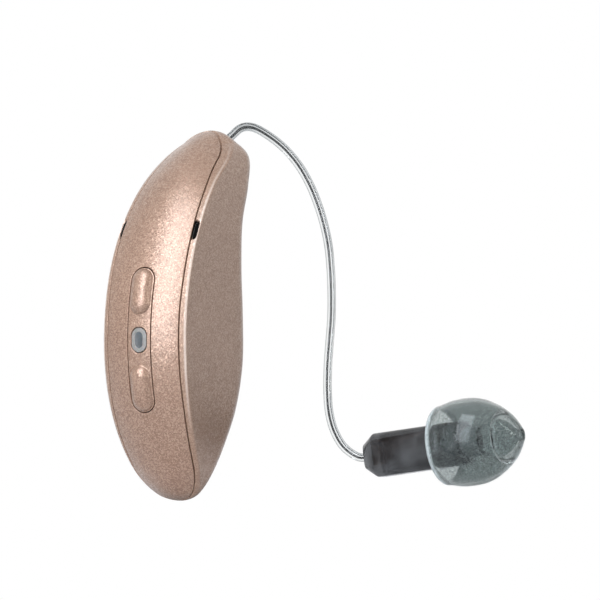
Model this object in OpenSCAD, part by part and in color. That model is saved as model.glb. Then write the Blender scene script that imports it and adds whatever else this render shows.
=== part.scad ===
// Receiver-in-canal hearing aid, worn behind the ear. Millimetres, +Z up as worn, +X forward.
// The origin is the ear saddle, the hollow of the front face that rests on the ear.

/* [Body] */
// room in the lower tip, under the battery cell
tip_room = 5.9; // [5.7:0.1:6.4]
// room in the head, above the upper deck
head_room = 9; // [8.8:0.1:9.6]
// how far the spine leans forward at the top of the head
head_lean = 11.84; // [11.6:0.02:12.2]
// clearance between the charging coil and the flank
flank_clearance = 0.35; // [0.3:0.01:0.5]
// clearance between the battery cell and the saddle
saddle_clearance = 0.95; // [0.8:0.01:1.1]
// wall thickness of housing and cover
wall = 0.7; // [0.6:0.05:0.75]
// depth of the parting line below the spine
seam_depth = 0.76; // [0.7:0.01:0.85]
// distance behind the saddle where the cover ends at the top
cover_end = 0.65; // [0.5:0.05:0.9]
// length of a microphone slot along the parting line
slot_length = 1.6; // [1.4:0.1:1.8]
// depth of a microphone slot below the parting line
slot_depth = 0.6; // [0.5:0.05:0.65]
// width of a microphone slot
slot_width = 0.95; // [0.9:0.01:1]
// wall left outside a microphone slot
slot_lip = 0.2; // [0.18:0.01:0.25]
// thickness of a slot screen
screen_thickness = 0.2; // [0.15:0.01:0.25]

/* [Rocker button] */
// height of the rocker plate
rocker_height = 12.1; // [11.8:0.1:12.3]
// width of the rocker plate
rocker_width = 2.16; // [2.14:0.01:2.2]
// thickness of the rocker plate
rocker_thickness = 0.6; // [0.5:0.05:0.62]
// gap between rocker and cover
rocker_gap = 0.14; // [0.12:0.01:0.16]
// height of the two finger bumps above the plate
bump_rise = 0.4; // [0.3:0.05:0.5]
// radius of the finger bumps
bump_radius = 1.3; // [1.2:0.05:1.35]
// length of the straight part of a bump
bump_length = 1.8; // [1.6:0.1:2]
// distance of each bump from the middle
bump_offset = 4.1; // [4:0.05:4.2]
// depth of the pivot below the spine
axle_depth = 2.1; // [2.05:0.01:2.15]
// radius of the pivot pins
axle_radius = 0.22; // [0.2:0.01:0.24]
// running clearance of the pivot pins in the rocker
axle_clearance = 0.04; // [0.03:0.01:0.05]
// thickness of the rocker's two ears
ear_thickness = 0.26; // [0.22:0.01:0.28]
// radius of the ends of the ears
ear_radius = 0.42; // [0.4:0.01:0.45]
// width of the light window
window_width = 1.32; // [1.28:0.01:1.34]
// height of the light window
window_height = 2; // [1.9:0.05:2.1]
// gap around the light window
window_gap = 0.06; // [0.05:0.01:0.07]
// reach of the light window's foot beyond its stem
window_foot = 0.3; // [0.25:0.05:0.35]
// thickness of the light window's foot
window_foot_thickness = 0.3; // [0.25:0.05:0.35]
// width of the pads that press the switches
nub_radius = 0.4; // [0.35:0.05:0.5]
// free travel between press pad and membrane
nub_travel = 0.3; // [0.28:0.01:0.32]

/* [Electronics] */
// depth of the button board below the spine
board_depth = 2.9; // [2.86:0.01:2.95]
// thickness of the button board
board_thickness = 0.3; // [0.26:0.01:0.32]
// height of the button board above the saddle
board_top = 7; // [6.8:0.05:7.1]
// height of the button board below the saddle
board_bottom = 6.5; // [6.2:0.05:6.6]
// width of the button board
board_width = 5; // [4.9:0.05:5.1]
// thickness of the switch bodies
switch_height = 0.7; // [0.65:0.01:0.75]
// width of the switch bodies
switch_width = 1.8; // [1.6:0.05:1.9]
// length of the switch bodies
switch_length = 2.4; // [2.2:0.1:2.6]
// thickness of the membrane over the switches
membrane_thickness = 0.25; // [0.2:0.01:0.28]
// size of the status light
light_size = 0.8; // [0.7:0.05:0.9]
// height of the status light
light_height = 0.5; // [0.45:0.01:0.55]
// gap between status light and window stem
light_gap = 0.25; // [0.2:0.01:0.3]
// radius of the battery cell
battery_radius = 3.3; // [3.2:0.02:3.34]
// thickness of the battery cell
battery_thickness = 5; // [4.8:0.05:5]
// gap between battery cell and chassis back plate
cell_gap = 0.05; // [0.03:0.01:0.08]
// depth of the battery centre below the saddle
battery_drop = 4.3; // [4.2:0.05:4.4]
// thickness of the battery tabs
tab_thickness = 0.15; // [0.12:0.01:0.17]
// height of the battery tabs
tab_height = 1.2; // [1:0.1:1.4]
// reach of the tabs along the battery face
tab_reach = 3.7; // [3.4:0.1:4]
// outer radius of the charging coil
coil_radius = 2.4; // [2.2:0.05:2.45]
// radius of the hole in the charging coil
coil_hole = 1.3; // [1.2:0.05:1.5]
// thickness of the charging coil
coil_thickness = 0.3; // [0.25:0.01:0.32]
// thickness of the main board
main_thickness = 0.4; // [0.35:0.01:0.45]
// depth of the main board from front to back
main_depth = 6; // [5.8:0.1:6.2]
// edge of the processor
processor_size = 3.4; // [3.2:0.1:3.6]
// height of the processor
processor_height = 0.7; // [0.6:0.05:0.8]
// edge of the radio chip
radio_size = 2.6; // [2.4:0.1:2.8]
// height of the radio chip
radio_height = 0.6; // [0.5:0.05:0.7]
// edge of the power chip
power_size = 1.6; // [1.4:0.1:1.8]
// thickness of the antenna strip
antenna_thickness = 0.15; // [0.12:0.01:0.18]
// width of the antenna strip
antenna_width = 1.2; // [1:0.1:1.3]
// length of a microphone
microphone_length = 2.6; // [2.4:0.05:2.7]
// width of a microphone
microphone_width = 2.2; // [2:0.05:2.3]
// height of a microphone
microphone_height = 1; // [0.9:0.02:1.05]
// radius of a microphone port
port_radius = 0.3; // [0.25:0.01:0.35]
// thickness of the rubber boots
boot_thickness = 0.6; // [0.55:0.01:0.65]
// gap between the upper boot and the cover
microphone_gap = 0.2; // [0.15:0.01:0.25]

/* [Chassis] */
// thickness of the chassis back plate
plate_thickness = 0.6; // [0.58:0.01:0.64]
// width of the chassis
chassis_width = 4.6; // [4.5:0.02:4.65]
// thickness of the chassis decks
deck_thickness = 0.4; // [0.35:0.01:0.45]
// height of the upper deck above the saddle
shelf_rise = 8.2; // [8.1:0.05:8.3]
// wall of the battery cradle
cradle_wall = 0.3; // [0.25:0.01:0.32]
// thickness of the pivot posts
post_thickness = 0.55; // [0.5:0.01:0.6]
// radius of the locating pegs of the housing
peg_radius = 0.28; // [0.24:0.01:0.29]

/* [Lead and receiver] */
// rise of the lead exit, in degrees
exit_angle = 38; // [36:1:40]
// reach of the plug collar in front of the head
collar_reach = 0.6; // [0.5:0.05:0.7]
// drop of the plug collar's end below the top of the head
collar_drop = 0.85; // [0.75:0.05:0.95]
// radius of the plug collar
collar_radius = 0.95; // [0.9:0.01:1]
// length of the plug collar
collar_length = 1.3; // [1.2:0.05:1.35]
// gap around the plug collar
collar_gap = 0.07; // [0.05:0.01:0.09]
// radius of the plug pin
plug_radius = 0.42; // [0.4:0.01:0.44]
// running clearance of the plug pin
plug_clearance = 0.04; // [0.03:0.01:0.05]
// length of the plug pin
plug_length = 3; // [2.8:0.1:3.2]
// radius of the receiver socket
socket_radius = 0.74; // [0.7:0.01:0.76]
// length of the receiver socket
socket_length = 4.2; // [4.1:0.05:4.4]
// radius of a socket contact
contact_radius = 0.1; // [0.08:0.01:0.12]
// diameter of the lead
lead_diameter = 0.72; // [0.66:0.02:0.8]
// bevel of the receiver case's long edges
case_bevel = 0.6; // [0.5:0.05:0.65]
// length of the tapered back of the receiver case
case_taper = 1.3; // [1.2:0.05:1.4]
// wall of the receiver case
case_wall = 0.35; // [0.3:0.01:0.4]
// thickness of the receiver case's two ends
case_end = 0.7; // [0.6:0.05:0.8]
// length of the driver inside the receiver case
driver_length = 6.2; // [6:0.1:6.4]
// height of the driver
driver_height = 2.6; // [2.5:0.05:2.7]
// width of the driver
driver_width = 1.9; // [1.8:0.05:2]
// clearance around the driver
driver_clearance = 0.2; // [0.15:0.01:0.25]
// radius of the spout
spout_radius = 1; // [0.96:0.01:1.04]
// length of the spout
spout_length = 1.5; // [1.4:0.05:1.6]
// radius of the bore in the spout
spout_bore = 0.6; // [0.55:0.01:0.62]
// length of the wax guard
guard_length = 0.9; // [0.8:0.05:1]
// rim width of the wax guard
guard_rim = 0.15; // [0.12:0.01:0.17]
// running clearance of wax guard and dome sleeve
guard_clearance = 0.03; // [0.02:0.01:0.04]
// largest radius of the dome
dome_radius = 3.7; // [3.6:0.05:3.8]
// distance from receiver case end to the widest part of the dome
dome_offset = 0.4; // [0.35:0.05:0.45]
// length from the widest part to the tip of the dome
dome_nose = 5.05; // [4.9:0.05:5.2]
// length from the widest part to the skirt rim
dome_skirt = 2.4; // [2.3:0.05:2.5]
// wall of the dome
dome_wall = 0.3; // [0.26:0.01:0.32]
// radius of the sound hole in the dome tip
dome_hole = 0.45; // [0.4:0.01:0.5]

/* [Hidden] */
round_sides = 48;
shelf_top = shelf_rise + deck_thickness;
saddle_rise = battery_drop + battery_radius + tip_room;
head_rise = shelf_top + head_room;
body_height = saddle_rise + head_rise;
body_width = battery_thickness + 2 * (tab_thickness + coil_thickness + flank_clearance + wall);
body_depth = board_depth + board_thickness + plate_thickness + cell_gap + 2 * battery_radius + saddle_clearance
    + wall;
spine_radius = (head_rise * head_rise + head_lean * head_lean) / head_lean / 2;
half_width = body_width / 2;
half_height = body_height / 2;
mid_z = half_height - saddle_rise;
spine_x = -body_depth;
arc_x = spine_radius - body_depth;
seam_radius = spine_radius - seam_depth;
tiny = wall / 50;
reach = body_height * 2;

// Body outline as shares, one value each 15 degrees of the section angle from lower tip to upper tip
tip_shares = [0.124, 0.033, 0, 0, 0, 0, 0, 0, 0, 0, 0, 0, 0.037];
front_shares = [-0.413, -0.372, -0.314, -0.207, -0.078, -0.004, 0, -0.012, 0.017, 0.132, 0.19, 0.066, 0.012];
width_shares = [0, 0.46, 0.745, 0.888, 0.968, 1, 1, 0.988, 0.95, 0.88, 0.73, 0.445, 0];
crown_shares = [0, 0.24, 0.305, 0.28, 0.263, 0.263, 0.263, 0.265, 0.3, 0.38, 0.55, 0.475, 0];
corner_shares = [0, 0.275, 0.425, 0.475, 0.5, 0.5, 0.5, 0.5, 0.475, 0.45, 0.425, 0.3, 0];
edge_shares = [0, 0.125, 0.112, 0.075, 0.05, 0.038, 0.038, 0.038, 0.05, 0.1, 0.15, 0.175, 0];
ring_angles = [for (k = [-11:11]) k * 7.5];

// Smooth curve through the shares at section angle p, straight on past both ends
function share_at(tab, p) = let (t = (p + 90) / 15, i = min(max(floor(t), 0), len(tab) - 2), f = t - i,
    b = tab[i], c = tab[i + 1], a = i > 0 ? tab[i - 1] : 2 * b - c, d = i < len(tab) - 2 ? tab[i + 2] : 2 * c - b)
    (2 * b + (c - a) * f + (2 * a - 5 * b + 4 * c - d) * f * f + (3 * b - a - 3 * c + d) * f * f * f) / 2;
function level_z(p) = mid_z + half_height * sin(p);
function rear_x(p) = arc_x - sqrt(pow(spine_radius, 2) - pow(level_z(p), 2)) + body_depth * share_at(tip_shares, p);
function front_x(p) = body_depth * share_at(front_shares, p);
function unit2(v) = v / norm(v);
function rear_way(p) = unit2([rear_x(p + 1) - rear_x(p - 1), level_z(p + 1) - level_z(p - 1)]);
function front_way(p) = unit2([front_x(p + 1) - front_x(p - 1), level_z(p + 1) - level_z(p - 1)]);
function rear_at(p, inset) = [rear_x(p), level_z(p)] + inset * [rear_way(p)[1], -rear_way(p)[0]];
function front_at(p, inset) = [front_x(p), level_z(p)] + inset * [-front_way(p)[1], front_way(p)[0]];

// Half of one section as [distance from the spine, half width]: crown, edge, corner and front
function half_section(p, inset, l) = let (w0 = half_width * share_at(width_shares, p),
    w = max(w0 - inset, w0 / 10), q = w / w0, d0 = half_width * share_at(crown_shares, p) * q * q,
    e0 = max(half_width * share_at(edge_shares, p) - inset / 4, w / 50),
    c0 = max(half_width * share_at(corner_shares, p) - inset, w / 4),
    s = min(1, l / (d0 + e0 + c0)), d = d0 * s, e = e0 * s, c = c0 * s, v = w - e)
    concat([for (k = [0:4]) [d * pow(v * k / 4 / w, 2), v * k / 4]],
        [[d * pow(v / w, 2) / 4 + d / 2 + (d + e) / 4, v / 4 + w * 3 / 4], [d + e, w]],
        [for (k = [0:3]) [l - c + c * sin(k * 22.5), w - c0 * s + c * cos(k * 22.5)]],
        [[l, w - c], [l, 0]]);
function ring(p, inset) = let (r = rear_at(p, inset), f = front_at(p, inset), l = norm(f - r),
    h = half_section(p, inset, l), u = (f - r) / l, m = len(h))
    [for (k = [0:2 * m - 3]) let (g = k < m ? h[k] : h[2 * m - 2 - k], y = k < m ? g[1] : -g[1])
        [r[0] + u[0] * g[0], y, r[1] + u[1] * g[0]]];
ring_count = len(ring_angles);
ring_size = len(ring(0, 0));
function body_points(inset) = concat([[front_x(-90), 0, level_z(-90) + inset]],
    [for (p = ring_angles) each ring(p, inset)], [[front_x(90), 0, level_z(90) - inset]]);
body_faces = concat([for (j = [0:ring_size - 1]) [0, 1 + (j + 1) % ring_size, 1 + j]],
    [for (i = [0:ring_count - 2], j = [0:ring_size - 1]) each let (a = 1 + i * ring_size, b = a + ring_size,
        k = (j + 1) % ring_size) [[a + j, a + k, b + k], [a + j, b + k, b + j]]],
    [for (j = [0:ring_size - 1]) let (a = 1 + (ring_count - 1) * ring_size)
        [a + j, a + (j + 1) % ring_size, 1 + ring_count * ring_size]]);

// Places of the inner pieces, measured from the saddle
axle_x = spine_x + axle_depth;
board_x = spine_x + board_depth;
plate_x = board_x + board_thickness;
inner_x = plate_x + plate_thickness;
battery_x = inner_x + cell_gap + battery_radius;
battery_z = -battery_drop;
deck_z = battery_z + battery_radius + deck_thickness / 2;
deck_top = deck_z + deck_thickness;
chassis_half = chassis_width / 2;
cell_half = battery_thickness / 2;
switch_x = board_x - switch_height;
membrane_x = switch_x - membrane_thickness;
bump_x = arc_x - sqrt(pow(spine_radius, 2) - pow(bump_offset, 2));
ear_face = window_width / 2 + window_gap;
post_face = ear_face + ear_thickness + rocker_gap / 2;
slot_angle = 30.5;
slot_inner = half_width * 0.905 - slot_lip - slot_width;
shelf_front = -body_depth * 0.14;
socket_start = collar_length + wall * 0.65;
microphone_radius = spine_radius - wall - microphone_gap - boot_thickness - microphone_height;
microphone_angle = asin((shelf_top + head_room * 0.45) / microphone_radius);
exit_dir = [cos(exit_angle), 0, sin(exit_angle)];
collar_end = [front_x(60) + collar_reach, 0, head_rise - collar_drop];

// Route of the lead from the plug to the receiver case, points chosen along its middle
lead_route = [[0.9, 0, 0.5], [1.8, 0, 0.92], [2.8, 0, 1.15], [4, -0.1, 1.12], [5.9, -0.6, 0.4],
    [7.5, -1.3, -0.75], [8.6, -2, -2.15], [9.1, -2.7, -3.65], [9.35, -3.3, -5.2], [9.4, -3.9, -6.95],
    [9.3, -4.4, -8.75], [9, -4.8, -10.75], [8.65, -5.1, -13], [8.25, -5.3, -15], [7.8, -5.4, -16.8],
    [7.3, -5.5, -19.2], [7.1, -5.6, -21.1], [7.3, -5.7, -23.1], [7.8, -5.95, -24.6], [8.3, -6.5, -25.75],
    [8.6, -7.2, -26.35], [8.66, -7.8, -26.6]];
case_start = [8.68, -8.4, -26.6];
case_dir = [0.05, -0.99, 0.129];
lead_sides = 8;
case_at = collar_end + case_start;
lead_points = concat([collar_end, collar_end + exit_dir * lead_diameter / 3],
    [for (point = lead_route) collar_end + point], [case_at - case_dir * lead_diameter / 3, case_at]);
case_length = case_taper + 2 * case_end + driver_length + 2.5 * driver_clearance;
case_height = driver_height + 2 * (case_wall + driver_clearance);
case_width = driver_width + 2 * (case_wall + driver_clearance);
case_way = case_dir / norm(case_dir);
case_side = [case_way[1], -case_way[0], 0] / norm([case_way[1], -case_way[0], 0]);
case_up = cross(case_side, case_way) * (cross(case_side, case_way)[2] > 0 ? 1 : -1);

// Tube of even width along points, with flat ends square to the first and last stretch
function unit3(v) = v / norm(v);
function way_at(pts, i) = i == 0 ? unit3(pts[1] - pts[0]) :
    i == len(pts) - 1 ? unit3(pts[i] - pts[i - 1]) : unit3(unit3(pts[i + 1] - pts[i]) + unit3(pts[i] - pts[i - 1]));
function carried(n, t) = unit3(n - (n * t) * t);
function frames(pts, i = 0, n = [0, 1, 0]) = i == len(pts) ? [] :
    let (m = carried(n, way_at(pts, i))) concat([m], frames(pts, i + 1, m));
module tube(pts, radius, sides) {
    ns = frames(pts);
    rings = len(pts);
    points = [for (i = [0:rings - 1], j = [0:sides - 1]) let (t = way_at(pts, i), n = ns[i], b = cross(t, n),
        a = (j + 0.5) * 360 / sides) pts[i] + radius * (cos(a) * n + sin(a) * b)];
    sides_faces = [for (i = [0:rings - 2], j = [0:sides - 1]) each let (a = i * sides, b = a + sides,
        k = (j + 1) % sides) [[a + j, b + k, a + k], [a + j, b + j, b + k]]];
    polyhedron(points, concat([[for (j = [0:sides - 1]) j]], sides_faces,
        [[for (j = [sides - 1:-1:0]) (rings - 1) * sides + j]]), convexity = 6);
}

// Block between two limits on each axis
module block(x, y, z) {
    translate([x[0], y[0], z[0]])
        cube([x[1] - x[0], y[1] - y[0], z[1] - z[0]]);
}

// Rod along Y between two limits, centred at x and z
module cross_rod(x, z, y, radius) {
    translate([x, y[1], z])
        rotate([90, 0, 0])
            cylinder(h = y[1] - y[0], r = radius, $fn = round_sides);
}

// The same child on both flanks
module both_sides() {
    children();
    mirror([0, 1, 0])
        children();
}

// Stadium-shaped bar along X, rounded above and below
module stadium(x, width, height) {
    block(x, [-width / 2, width / 2], [(width - height) / 2, (height - width) / 2]);
    for (side = [-1, 1])
        translate([x[0], 0, side * (height - width) / 2])
            rotate([0, 90, 0])
                cylinder(h = x[1] - x[0], r = width / 2, $fn = round_sides);
}

// Children drawn along the spine arc: x outward along the radius, z along the arc
module on_arc(angle) {
    translate([arc_x, 0, 0])
        rotate([0, 180 + angle, 0])
            children();
}

// Children drawn with their z axis along the lead exit, zero at the collar's end
module at_exit() {
    translate(collar_end)
        rotate([0, 90 - exit_angle, 0])
            children();
}

// Children drawn with their z axis along the receiver, zero at the back of its case, x up
module at_case() {
    multmatrix([[case_up[0], case_side[0], case_way[0], case_at[0]],
        [case_up[1], case_side[1], case_way[1], case_at[1]],
        [case_up[2], case_side[2], case_way[2], case_at[2]], [0, 0, 0, 1]])
            children();
}

module body(inset) {
    polyhedron(body_points(inset), body_faces, convexity = 6);
}

// Everything on the housing's side of the parting line
module housing_zone() {
    rotate([90, 0, 0])
        linear_extrude(height = body_width * 2, center = true)
            union() {
                translate([arc_x, 0])
                    circle(r = seam_radius, $fn = 180);
                translate([-cover_end, 0])
                    square([body_depth, body_height]);
            }
}

// Opening in the back of the body that the rocker sits in
module rocker_opening() {
    stadium([spine_x - wall, axle_x], rocker_width + rocker_gap * 2, rocker_height + rocker_gap * 2);
}

module housing_shell() {
    color([0.70, 0.61, 0.55]) {
        difference() {
            intersection() {
                difference() {
                    body(0);
                    body(wall);
                }
                housing_zone();
            }
            both_sides()
                on_arc(slot_angle)
                    block([seam_radius - slot_depth, seam_radius + wall],
                        [slot_inner, slot_inner + slot_width], [-slot_length / 2, slot_length / 2]);
            at_exit() {
                translate([0, 0, -collar_length - tiny])
                    cylinder(h = collar_length * 2, r = collar_radius + collar_gap, $fn = round_sides);
                translate([0, 0, -socket_start - wall * 2])
                    cylinder(h = wall * 4, r = plug_radius + collar_gap, $fn = round_sides);
                translate([0, 0, -socket_start - socket_length])
                    cylinder(h = socket_length, r = socket_radius + plug_clearance, $fn = round_sides);
            }
            rocker_opening();
        }
        both_sides()
            for (at = [[plate_x + plate_thickness / 2, board_top * 0.78], [plate_x + plate_thickness / 2,
                -board_bottom * 0.9]])
                cross_rod(at[0], at[1], [chassis_half, half_width - wall / 2], peg_radius);
    }
}

module spine_cover() {
    color([0.73, 0.64, 0.57])
        difference() {
            body(0);
            body(wall);
            housing_zone();
            rocker_opening();
        }
}

module inlet_screens() {
    color([0.06, 0.06, 0.06])
        both_sides()
            on_arc(slot_angle)
                block([seam_radius - slot_depth, seam_radius - slot_depth / 4],
                    [slot_inner + slot_width / 3, slot_inner + slot_width / 3 + screen_thickness],
                    [-slot_length / 2, slot_length / 2]);
}

// Round of the crown, turned about the spine's centre, between two depths
module crown_band(outer, inner) {
    crown_radius = half_width / crown_shares[6] / 2;
    translate([arc_x, 0, 0])
        rotate([90, 0, 0])
            rotate_extrude($fn = 180)
                intersection() {
                    translate([spine_radius - crown_radius, 0])
                        difference() {
                            circle(r = crown_radius - outer, $fn = 128);
                            circle(r = crown_radius - inner, $fn = 128);
                        }
                    translate([spine_radius - crown_radius, -rocker_width])
                        square([crown_radius * 2, rocker_width * 2]);
                }
}

module rocker_button() {
    ear_top = spine_x + rocker_thickness * 0.8;
    color([0.75, 0.66, 0.59])
        difference() {
            union() {
                intersection() {
                    crown_band(0, rocker_thickness);
                    stadium([spine_x - wall, spine_x + axle_depth], rocker_width, rocker_height);
                }
                for (side = [-1, 1])
                    translate([bump_x - bump_rise + bump_radius, 0, side * bump_offset])
                        intersection() {
                            union() {
                                translate([0, 0, -bump_length / 2])
                                    cylinder(h = bump_length, r = bump_radius, $fn = round_sides);
                                for (end = [-1, 1])
                                    translate([0, 0, end * bump_length / 2])
                                        sphere(r = bump_radius, $fn = round_sides);
                            }
                            block([-bump_radius * 2, bump_rise * 1.5 - bump_radius], [-bump_radius, bump_radius],
                                [-bump_radius * 2, bump_radius * 2]);
                        }
                for (side = [-1, 1])
                    translate([bump_x + rocker_thickness * 0.7, 0, side * bump_offset])
                        rotate([0, 90, 0])
                            cylinder(h = membrane_x - nub_travel - bump_x - rocker_thickness * 0.7,
                                r = nub_radius, $fn = round_sides);
                both_sides() {
                    block([ear_top, axle_x], [ear_face, ear_face + ear_thickness], [-ear_radius, ear_radius]);
                    cross_rod(axle_x, 0, [ear_face, ear_face + ear_thickness], ear_radius);
                }
            }
            stadium([spine_x - wall, spine_x + rocker_thickness * 2], window_width + window_gap * 2,
                window_height + window_gap * 2);
            both_sides()
                cross_rod(axle_x, 0, [0, body_width], axle_radius + axle_clearance);
        }
}

module light_window() {
    foot_x = spine_x + rocker_thickness + window_gap;
    stem_end = board_x - light_height - light_gap;
    color([0.80, 0.80, 0.78]) {
        intersection() {
            crown_band(0, rocker_thickness * 2);
            stadium([spine_x - wall, foot_x + tiny], window_width, window_height);
        }
        block([foot_x, foot_x + window_foot_thickness], [-window_width / 2, window_width / 2],
            [-window_height / 2 - window_foot, window_height / 2 + window_foot]);
        block([foot_x, stem_end], [-light_size / 2, light_size / 2], [-light_size / 2, light_size / 2]);
    }
}

module rocker_pins() {
    color([0.72, 0.73, 0.75])
        both_sides()
            cross_rod(axle_x, 0, [ear_face + tiny, post_face + post_thickness], axle_radius);
}

module button_board() {
    color([0.12, 0.30, 0.20])
        difference() {
            block([board_x, plate_x], [-board_width / 2, board_width / 2], [-board_bottom, board_top]);
            both_sides()
                block([board_x - tiny, plate_x + tiny], [post_face, post_face + post_thickness],
                    [-ear_radius, ear_radius]);
        }
}

module switch_at(z) {
    block([switch_x, board_x], [-switch_width / 2, switch_width / 2], [z - switch_length / 2,
        z + switch_length / 2]);
}

module upper_switch() {
    color([0.55, 0.56, 0.58])
        switch_at(bump_offset);
}

module lower_switch() {
    color([0.55, 0.56, 0.58])
        switch_at(-bump_offset);
}

module switch_membrane() {
    pad = switch_width * 0.6;
    inner = post_face + post_thickness + rocker_gap;
    near = bump_offset - switch_length / 2;
    color([0.30, 0.31, 0.33]) {
        for (z = [[-bump_offset - nub_radius * 2, -near], [near, bump_offset + nub_radius * 2]])
            block([membrane_x, switch_x], [-pad, pad], z);
        both_sides()
            block([membrane_x, switch_x], [inner, inner + membrane_thickness * 2], [-near, near]);
        for (side = [-1, 1])
            block([membrane_x, switch_x], [-inner - membrane_thickness * 2, inner + membrane_thickness * 2],
                side > 0 ? [near - membrane_thickness * 2, near] : [-near, membrane_thickness * 2 - near]);
    }
}

module status_light() {
    color([0.85, 0.84, 0.70])
        block([board_x - light_height, board_x], [-light_size / 2, light_size / 2],
            [-light_size / 2, light_size / 2]);
}

module chassis() {
    tower_x = inner_x + plate_thickness;
    arm_x = arc_x - microphone_radius * cos(microphone_angle);
    color([0.20, 0.20, 0.22])
        difference() {
            union() {
                block([plate_x, inner_x], [-chassis_half, chassis_half], [-board_bottom, board_top]);
                block([plate_x, battery_x + battery_radius * 0.9], [-chassis_half, chassis_half], [deck_z, deck_top]);
                block([inner_x - tiny, tower_x], [-chassis_half, chassis_half], [board_top * 0.9, shelf_top]);
                block([inner_x + tiny, shelf_front], [-chassis_half, chassis_half], [shelf_rise, shelf_top]);
                cross_rod(battery_x, battery_z, [-chassis_half, chassis_half], battery_radius + cradle_wall);
                both_sides()
                    block([axle_x - ear_radius, plate_x + tiny], [post_face, post_face + post_thickness],
                        [-ear_radius, ear_radius]);
                block([arm_x - wall * 0.2, arm_x + wall], [-microphone_width / 3, microphone_width / 3],
                    [shelf_rise + tiny, microphone_radius * sin(microphone_angle)]);
            }
            cross_rod(battery_x, battery_z, [-body_width, body_width], battery_radius);
            block([battery_x + battery_radius / 4, battery_x + battery_radius * 2], [-body_width, body_width],
                [battery_z - battery_radius * 2, deck_z]);
            both_sides()
                cross_rod(axle_x, 0, [0, body_width], axle_radius);
            on_arc(microphone_angle)
                block([microphone_radius, spine_radius], [-body_width, body_width], [-body_width, body_width]);
            block([plate_x - tiny, inner_x + tiny], [-main_thickness / 2, main_thickness / 2],
                [deck_top + tab_height * 2, deck_top + tab_height * 4]);
        }
}

module battery_cell() {
    color([0.78, 0.79, 0.80])
        cross_rod(battery_x, battery_z, [-cell_half, cell_half], battery_radius);
}

module battery_tabs() {
    color([0.70, 0.70, 0.68])
        both_sides()
            block([board_x, board_x + tab_reach], [cell_half, cell_half + tab_thickness],
                [battery_z - tab_height / 2, battery_z + tab_height / 2]);
}

module charging_coil() {
    face = -cell_half - tab_thickness;
    color([0.72, 0.42, 0.22])
        difference() {
            cross_rod(battery_x, battery_z, [face - coil_thickness, face], coil_radius);
            cross_rod(battery_x, battery_z, [face - coil_thickness * 2, 0], coil_hole);
        }
}

module main_board() {
    half = main_thickness / 2;
    color([0.10, 0.32, 0.22]) {
        block([inner_x, inner_x + main_depth], [-half, half], [deck_top, board_top * 0.88]);
        block([plate_x, inner_x + tiny], [-half, half], [deck_top + tab_height * 2, deck_top + tab_height * 4]);
    }
}

module processor_chip() {
    color([0.08, 0.08, 0.09])
        block([inner_x + main_depth / 4, inner_x + main_depth / 4 + processor_size],
            [main_thickness / 2, main_thickness / 2 + processor_height], [deck_top + wall, deck_top + wall
                + processor_size]);
}

module radio_chip() {
    color([0.10, 0.10, 0.11])
        block([inner_x + main_depth / 4, inner_x + main_depth / 4 + radio_size],
            [-main_thickness / 2 - radio_height, -main_thickness / 2], [deck_top + wall, deck_top + wall
                + radio_size]);
}

module power_chip() {
    color([0.13, 0.12, 0.12])
        block([inner_x + main_depth / 4, inner_x + main_depth / 4 + power_size],
            [-main_thickness / 2 - radio_height, -main_thickness / 2],
            [deck_top + wall * 2 + radio_size, deck_top + wall * 2 + radio_size + power_size]);
}

module antenna_strip() {
    y = [chassis_half, chassis_half + antenna_thickness];
    back = inner_x + plate_thickness;
    front = shelf_front - wall;
    color([0.62, 0.40, 0.20]) {
        block([back, front], y, [shelf_top - antenna_width, shelf_top]);
        block([back, front], y, [deck_z, deck_z + antenna_width]);
        block([front - antenna_width, front], y, [deck_z, shelf_top]);
    }
}

// Microphone can with its port on the side facing along x
module microphone_can() {
    difference() {
        block([0, microphone_height], [-microphone_width / 2, microphone_width / 2],
            [-microphone_length / 2, microphone_length / 2]);
        translate([microphone_height / 2, 0, 0])
            rotate([0, 90, 0])
                cylinder(h = microphone_height, r = port_radius, $fn = round_sides);
    }
}

// Rubber block on a microphone, with the sound channel running on from its port
module microphone_boot() {
    difference() {
        block([0, boot_thickness], [-microphone_width / 2, microphone_width / 2],
            [-microphone_length / 2, microphone_length / 2]);
        translate([-boot_thickness, 0, 0])
            rotate([0, 90, 0])
                cylinder(h = boot_thickness * 3, r = port_radius, $fn = round_sides);
    }
}

// The lower microphone lies on the upper deck with its port upward
module on_shelf() {
    translate([inner_x + plate_thickness + wall / 2 + microphone_length / 2, 0, shelf_top])
        rotate([0, -90, 0])
            children();
}

module lower_microphone() {
    color([0.74, 0.72, 0.62])
        on_shelf()
            microphone_can();
}

module lower_boot() {
    color([0.16, 0.16, 0.17])
        on_shelf()
            translate([microphone_height, 0, 0])
                microphone_boot();
}

module upper_microphone() {
    color([0.74, 0.72, 0.62])
        on_arc(microphone_angle)
            translate([microphone_radius, 0, 0])
                microphone_can();
}

module upper_boot() {
    color([0.16, 0.16, 0.17])
        on_arc(microphone_angle)
            translate([microphone_radius + microphone_height, 0, 0])
                microphone_boot();
}

module receiver_socket() {
    back = socket_start + socket_length;
    foot = collar_end[0] - exit_dir[0] * back;
    color([0.12, 0.12, 0.13])
        difference() {
            union() {
                at_exit()
                    translate([0, 0, -back])
                        cylinder(h = socket_length, r = socket_radius, $fn = round_sides);
                block([foot - socket_radius * 0.8, foot + tiny], [-socket_radius * 0.9, socket_radius * 0.9],
                    [shelf_top, collar_end[2] - exit_dir[2] * back]);
            }
            at_exit() {
                translate([0, 0, -collar_length - plug_length - plug_clearance * 2])
                    cylinder(h = plug_length * 2, r = plug_radius + plug_clearance, $fn = round_sides);
                for (side = [-1, 1])
                    translate([0, side * plug_radius / 2, -back - socket_length])
                        cylinder(h = socket_length * 2, r = contact_radius, $fn = 24);
            }
        }
}

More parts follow.
